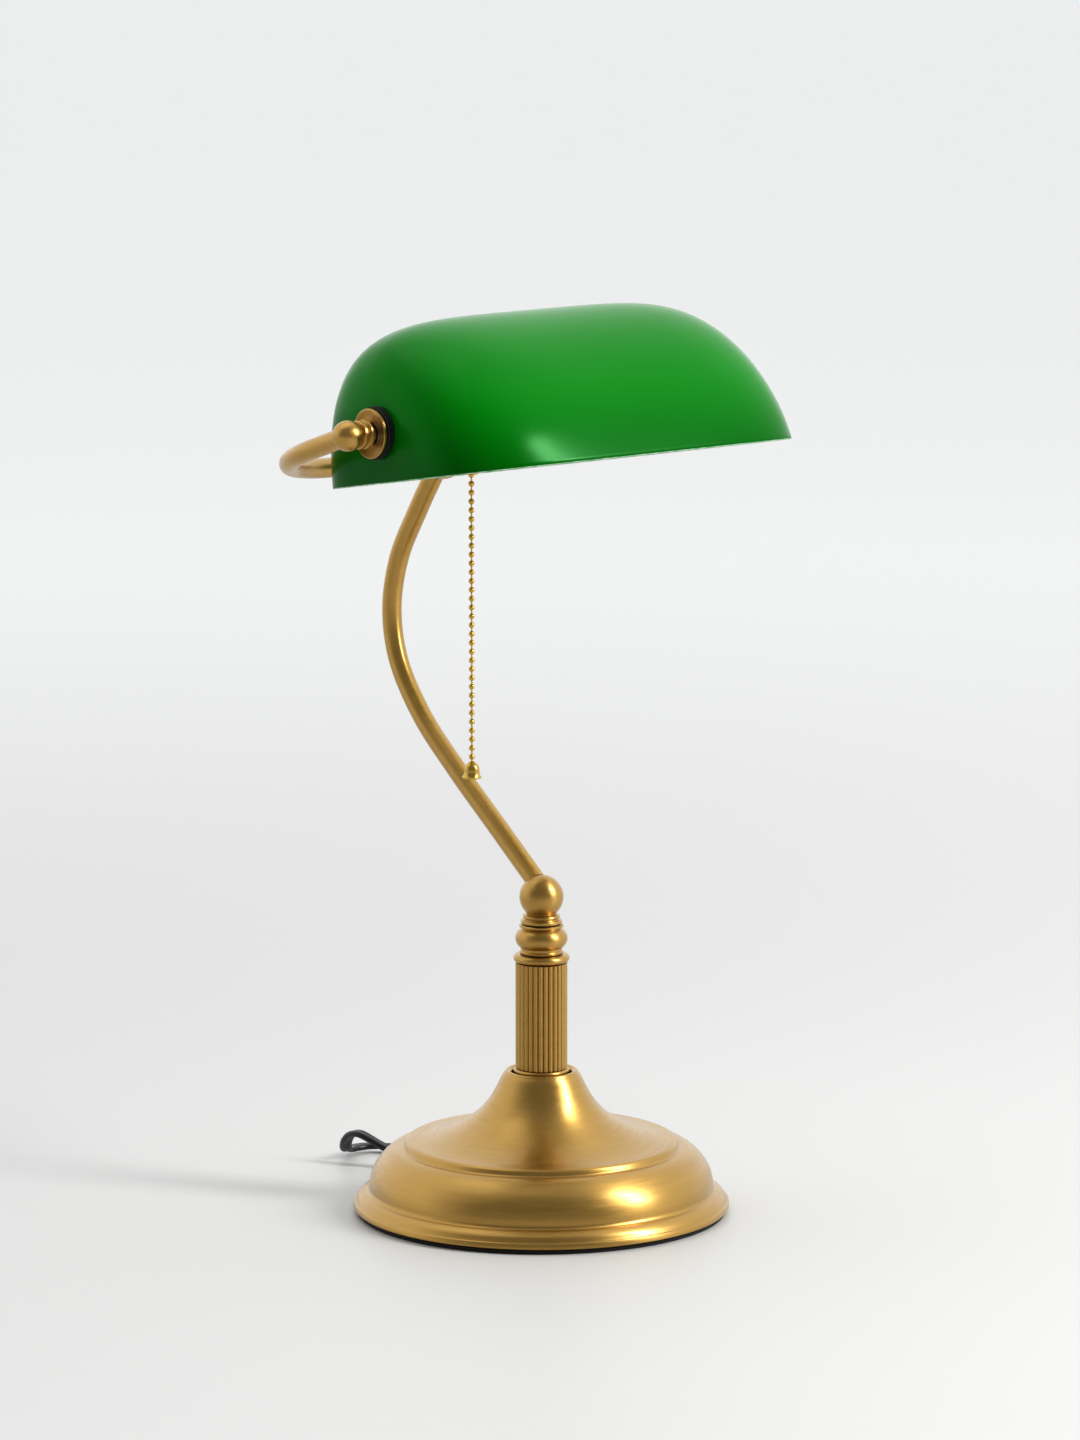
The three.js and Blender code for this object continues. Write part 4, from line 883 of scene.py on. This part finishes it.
# ---------------------------------------------------------------------------
# The pivots: at each end of the glass a dished brass washer and a two-layer rubber gasket
# outside, the same flat inside, and a brass nut on the nipple that clamps them.
for side, word in ((-1, "left"), (1, "right")):
    outer_washer = turned(
        f"dished_washer_{word}",
        [(5.5, 1.3), (7.4, 1.15), (9.6, 0.75), (11, 0.15), (11.7, 0.02), (12.15, 0.4), (12.15, 1.5),
         (11.8, 1.95), (5.5, 1.95)],
        turned_brass, at_pivot(side, 117.5), 96, closed=True,
    )
    settle(outer_washer, "shade", "satin_brass", f"outer_washer_{word}")
    outer_gasket = turned(
        f"gasket_{word}",
        [(5.6, 0), (12.4, 0), (12.85, 0.35), (12.85, 0.95), (12.3, 1.2), (12.3, 1.35), (12.85, 1.6),
         (12.85, 3.6), (12.4, 3.9), (5.6, 3.9)],
        rubber, at_pivot(side, 115.15), 96, closed=True,
    )
    settle(outer_gasket, "shade", "black_rubber", f"outer_gasket_{word}")
    inner_gasket = turned(
        f"inner_pad_{word}", [(5.6, 0), (12.5, 0), (12.85, 0.4), (12.85, 3.6), (12.4, 4), (5.6, 4)],
        rubber, at_pivot(side, 106.4), 72, closed=True,
    )
    settle(inner_gasket, "shade", "black_rubber", f"inner_gasket_{word}")
    inner_washer = turned(
        f"inner_disc_{word}", [(5.5, 0), (11.9, 0), (12.15, 0.3), (12.15, 1.7), (11.9, 2), (5.5, 2)],
        turned_brass, at_pivot(side, 102.1), 72, closed=True,
    )
    settle(inner_washer, "shade", "satin_brass", f"inner_washer_{word}")
    nut = turned(
        f"nut_{word}", [(5.6, 0), (7.3, 0), (8.05, 0.5), (8.05, 4), (7.3, 4.5), (5.6, 4.5)],
        turned_brass, at_pivot(side, 99.8), 6, closed=True, smooth_angle=10,
    )
    settle(nut, "stand", "satin_brass", f"pivot_nut_{word}")

# ---------------------------------------------------------------------------
# The lampholder: a brass cap and shell with rolled beads, a pressed board liner, a phenolic
# switch block, and an aluminium screw shell with a brass contact.
along_x = at_pivot(-1, 0)
cap = turned(
    "holder_dome",
    [(5.2, -93.7), (8.2, -93.7), (8.9, -93.2), (12.2, -92.3), (14.6, -90.4), (16.1, -87.8), (16.6, -85.4),
     (16.2, -84.9), (16.95, -84.2), (16.95, -82.2), (16.2, -82.2), (16, -84.6), (15.4, -87.4), (13.8, -89.8),
     (11.4, -91.4), (5.2, -91.9)],
    turned_brass, along_x, 96, closed=True,
)
settle(cap, "stand", "satin_brass", "holder_cap")
shell_outline = [(16.2, -81.7), (16.9, -81.6)]
for middle in (-77.4, -27.4):
    shell_outline += [(16.9, middle - 1.6), (16.35, middle - 1.3), (16.35, middle - 0.9), (16.95, middle),
                      (16.35, middle + 0.9), (16.35, middle + 1.3), (16.9, middle + 1.6)]
shell_outline += [(16.9, -24), (16.55, -23.8), (16.2, -24)]
shell = turned("holder_body", shell_outline, turned_brass, along_x, 96, closed=True)
settle(shell, "stand", "satin_brass", "holder_shell")

# Pressed board: brown, dull and fibrous.
board, tree, shader = new_material("pressed_board", roughness=0.85)
place = add_node(tree, "ShaderNodeTexCoord").outputs["Object"]
fibre = add_node(tree, "ShaderNodeTexNoise", {"Vector": place, "Scale": 700.0, "Detail": 6.0}).outputs["Fac"]
colour = add_node(
    tree, "ShaderNodeMix", {0: fibre, 6: linear("#9A7F56"), 7: linear("#7D6440")}, data_type="RGBA"
).outputs[2]
link(tree, colour, shader.inputs["Base Color"])

# Phenolic: moulded, nearly black brown with a slight gloss, from wood flour in the resin.
phenolic, tree, shader = new_material("black_phenolic", roughness=0.4, ior=1.6)
place = add_node(tree, "ShaderNodeTexCoord").outputs["Object"]
flour = add_node(tree, "ShaderNodeTexNoise", {"Vector": place, "Scale": 450.0, "Detail": 5.0}).outputs["Fac"]
colour = add_node(
    tree, "ShaderNodeMix", {0: flour, 6: linear("#171210"), 7: linear("#241C18")}, data_type="RGBA"
).outputs[2]
link(tree, colour, shader.inputs["Base Color"])

# Aluminium: rolled sheet, pale and bright with a faint haze.
aluminium, tree, shader = new_material("rolled_aluminium", metallic=1.0, roughness=0.3)
place = add_node(tree, "ShaderNodeTexCoord").outputs["Object"]
haze = add_node(tree, "ShaderNodeTexNoise", {"Vector": place, "Scale": 300.0, "Detail": 4.0}).outputs["Fac"]
colour = add_node(
    tree, "ShaderNodeMix", {0: haze, 6: linear("#C6C8CA"), 7: linear("#D9DADB")}, data_type="RGBA"
).outputs[2]
link(tree, colour, shader.inputs["Base Color"])

for node, finish in (
    ("holder_liner", board), ("switch_block", phenolic), ("screw_shell", aluminium),
    ("centre_contact", turned_brass),
):
    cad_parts[node].data.materials.clear()
    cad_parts[node].data.materials.append(finish)

# ---------------------------------------------------------------------------
# The bulb: a tubular opal lamp, 30 mm across, on a rolled aluminium screw cap.
THREAD_PITCH = 2.6
thread_outline = [(0, -42), (3.5, -41.9), (4, -41.2), (7.6, -39.4), (10.4, -38)]
for i in range(6):
    low = THREAD_PITCH * i - 37
    thread_outline += [(12.2, low), (12.9, low + 0.9), (12.9, low + 1.4), (12.2, low + 2.2)]
thread_outline += [(12.6, -21), (12.6, -20.2), (0, -20.2)]
bulb_cap = turned("bulb_screw_cap", thread_outline, aluminium, along_x, 72, smooth_angle=60)
settle(bulb_cap, "stand", "thread_aluminium", "bulb_cap")
# Opal bulb glass: white powder inside the glass gives an even, warm white.
frosted, tree, shader = new_material("opal_bulb_glass", roughness=0.18, ior=1.5, subsurface_weight=0.3)
shader.inputs["Subsurface Radius"].default_value = (0.003, 0.003, 0.003)
place = add_node(tree, "ShaderNodeTexCoord").outputs["Object"]
powder = add_node(tree, "ShaderNodeTexNoise", {"Vector": place, "Scale": 120.0, "Detail": 4.0}).outputs["Fac"]
colour = add_node(
    tree, "ShaderNodeMix", {0: powder, 6: linear("#F7F5EE"), 7: linear("#F1EFE6")}, data_type="RGBA"
).outputs[2]
link(tree, colour, shader.inputs["Base Color"])
bulb = turned(
    "bulb", [(0, -19.6), (11.9, -19.6), (12.6, -18.4), (14, -16.2), (14.9, -14), (15, -12)]
    + arc(0, 57.2, 15, 15, 0, 88, 20) + [(0, 72.2)],
    frosted, along_x, 96, smooth_angle=50,
)
settle(bulb, "stand", "opal_glass", "bulb_glass")

# ---------------------------------------------------------------------------
# The pull chain: hollow brass beads on short wire links, out of a bell-mouthed guide in the
# holder, down to a small brass bell. It swings where it leaves the guide and half way down.
CHAIN_X = -53.77
BEAD_RADIUS = 1.5
BEAD_PITCH = 4.35
LINK_RADIUS = 0.42
CHAIN_TOP = 392.95

# Polished brass: drawn and tumbled bright, yellower than the brushed brass, with rubbed patches.
polished, tree, shader = new_material("polished_brass", metallic=1.0)
place = add_node(tree, "ShaderNodeTexCoord").outputs["Object"]
rubbed = add_node(tree, "ShaderNodeTexNoise", {"Vector": place, "Scale": 160.0, "Detail": 4.0}).outputs["Fac"]
colour = add_node(
    tree, "ShaderNodeMix", {0: rubbed, 6: linear("#D9B863"), 7: linear("#B8974A")}, data_type="RGBA"
).outputs[2]
link(tree, colour, shader.inputs["Base Color"])
dullness = add_node(
    tree, "ShaderNodeMapRange",
    {"Value": rubbed, "From Min": 0.3, "From Max": 0.7, "To Min": 0.16, "To Max": 0.3},
).outputs["Result"]
link(tree, dullness, shader.inputs["Roughness"])

guide = turned(
    "chain_mouth",
    [(2.1, 378.2), (2.9, 377.95), (3.7, 378.4), (3.95, 379.2), (3.6, 380.2), (3.1, 381.2), (3, 382.6),
     (3, 389), (2.1, 389)],
    polished, Matrix.Translation((CHAIN_X, PIVOT[1], 0)), 48, closed=True,
)
settle(guide, "stand", "bright_brass", "chain_guide")

bead_tree, sizes = new_tree("bead_chain", {
    "Beads": "NodeSocketInt", "Pitch": "NodeSocketVector", "Bead Radius": "NodeSocketFloat",
    "Link Radius": "NodeSocketFloat", "First Bead": "NodeSocketVector",
})
spots = add_node(
    bead_tree, "GeometryNodeMeshLine",
    {"Count": sizes["Beads"], "Start Location": sizes["First Bead"], "Offset": sizes["Pitch"]},
)
bead = add_node(
    bead_tree, "GeometryNodeMeshUVSphere", {"Segments": 16, "Rings": 10, "Radius": sizes["Bead Radius"]}
)
wire_length = add_node(
    bead_tree, "ShaderNodeVectorMath", {0: sizes["Pitch"]}, operation="LENGTH"
).outputs["Value"]
wire = add_node(
    bead_tree, "GeometryNodeMeshCylinder",
    {"Vertices": 8, "Side Segments": 1, "Radius": sizes["Link Radius"], "Depth": wire_length},
)
one = add_node(bead_tree, "GeometryNodeJoinGeometry")
link(bead_tree, bead.outputs[0], one.inputs[0])
link(bead_tree, wire.outputs[0], one.inputs[0])
all_beads = add_node(
    bead_tree, "GeometryNodeInstanceOnPoints", {"Points": spots.outputs[0], "Instance": one.outputs[0]}
)
real = add_node(bead_tree, "GeometryNodeRealizeInstances", {"Geometry": all_beads.outputs[0]})
painted = add_node(bead_tree, "GeometryNodeSetMaterial", {"Geometry": real.outputs[0], "Material": polished})
link(bead_tree, painted.outputs[0], add_node(bead_tree, "NodeGroupOutput").inputs[0])

top = CHAIN_TOP
for name, body, node, count in (
    ("chain_in_guide", "pull_link", "chain_stub", 4),
    ("chain_high", "chain_top", "chain_upper", 15),
    ("chain_low", "chain_end", "chain_lower", 17),
):
    beads = grown(name, bead_tree, {
        "Beads": count, "Pitch": (0, 0, -BEAD_PITCH * MM), "Bead Radius": BEAD_RADIUS * MM,
        "Link Radius": LINK_RADIUS * MM,
        "First Bead": (CHAIN_X * MM, PIVOT[1] * MM, (top - BEAD_PITCH / 2) * MM),
    })
    settle(beads, body, "bright_brass", node)
    top -= count * BEAD_PITCH

bell = turned(
    "chain_bell_pull",
    [(0, 236.3), (0.9, 236.25), (1.6, 235.9), (2, 235.3), (3, 234.6), (3.6, 233.4), (3.75, 231.6),
     (3.8, 230.4), (4.1, 229.4), (4.75, 228.6), (4.75, 228.1), (4.5, 227.9), (4, 228.1), (3.3, 229.2),
     (3, 231), (2.9, 233), (2.2, 234.2), (0, 234.5)],
    polished, Matrix.Translation((CHAIN_X, PIVOT[1], 0)), 64,
)
settle(bell, "chain_end", "bright_brass", "chain_bell")

for word in ("plug_blade_a", "plug_blade_b"):
    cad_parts[word].data.materials.clear()
    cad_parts[word].data.materials.append(polished)
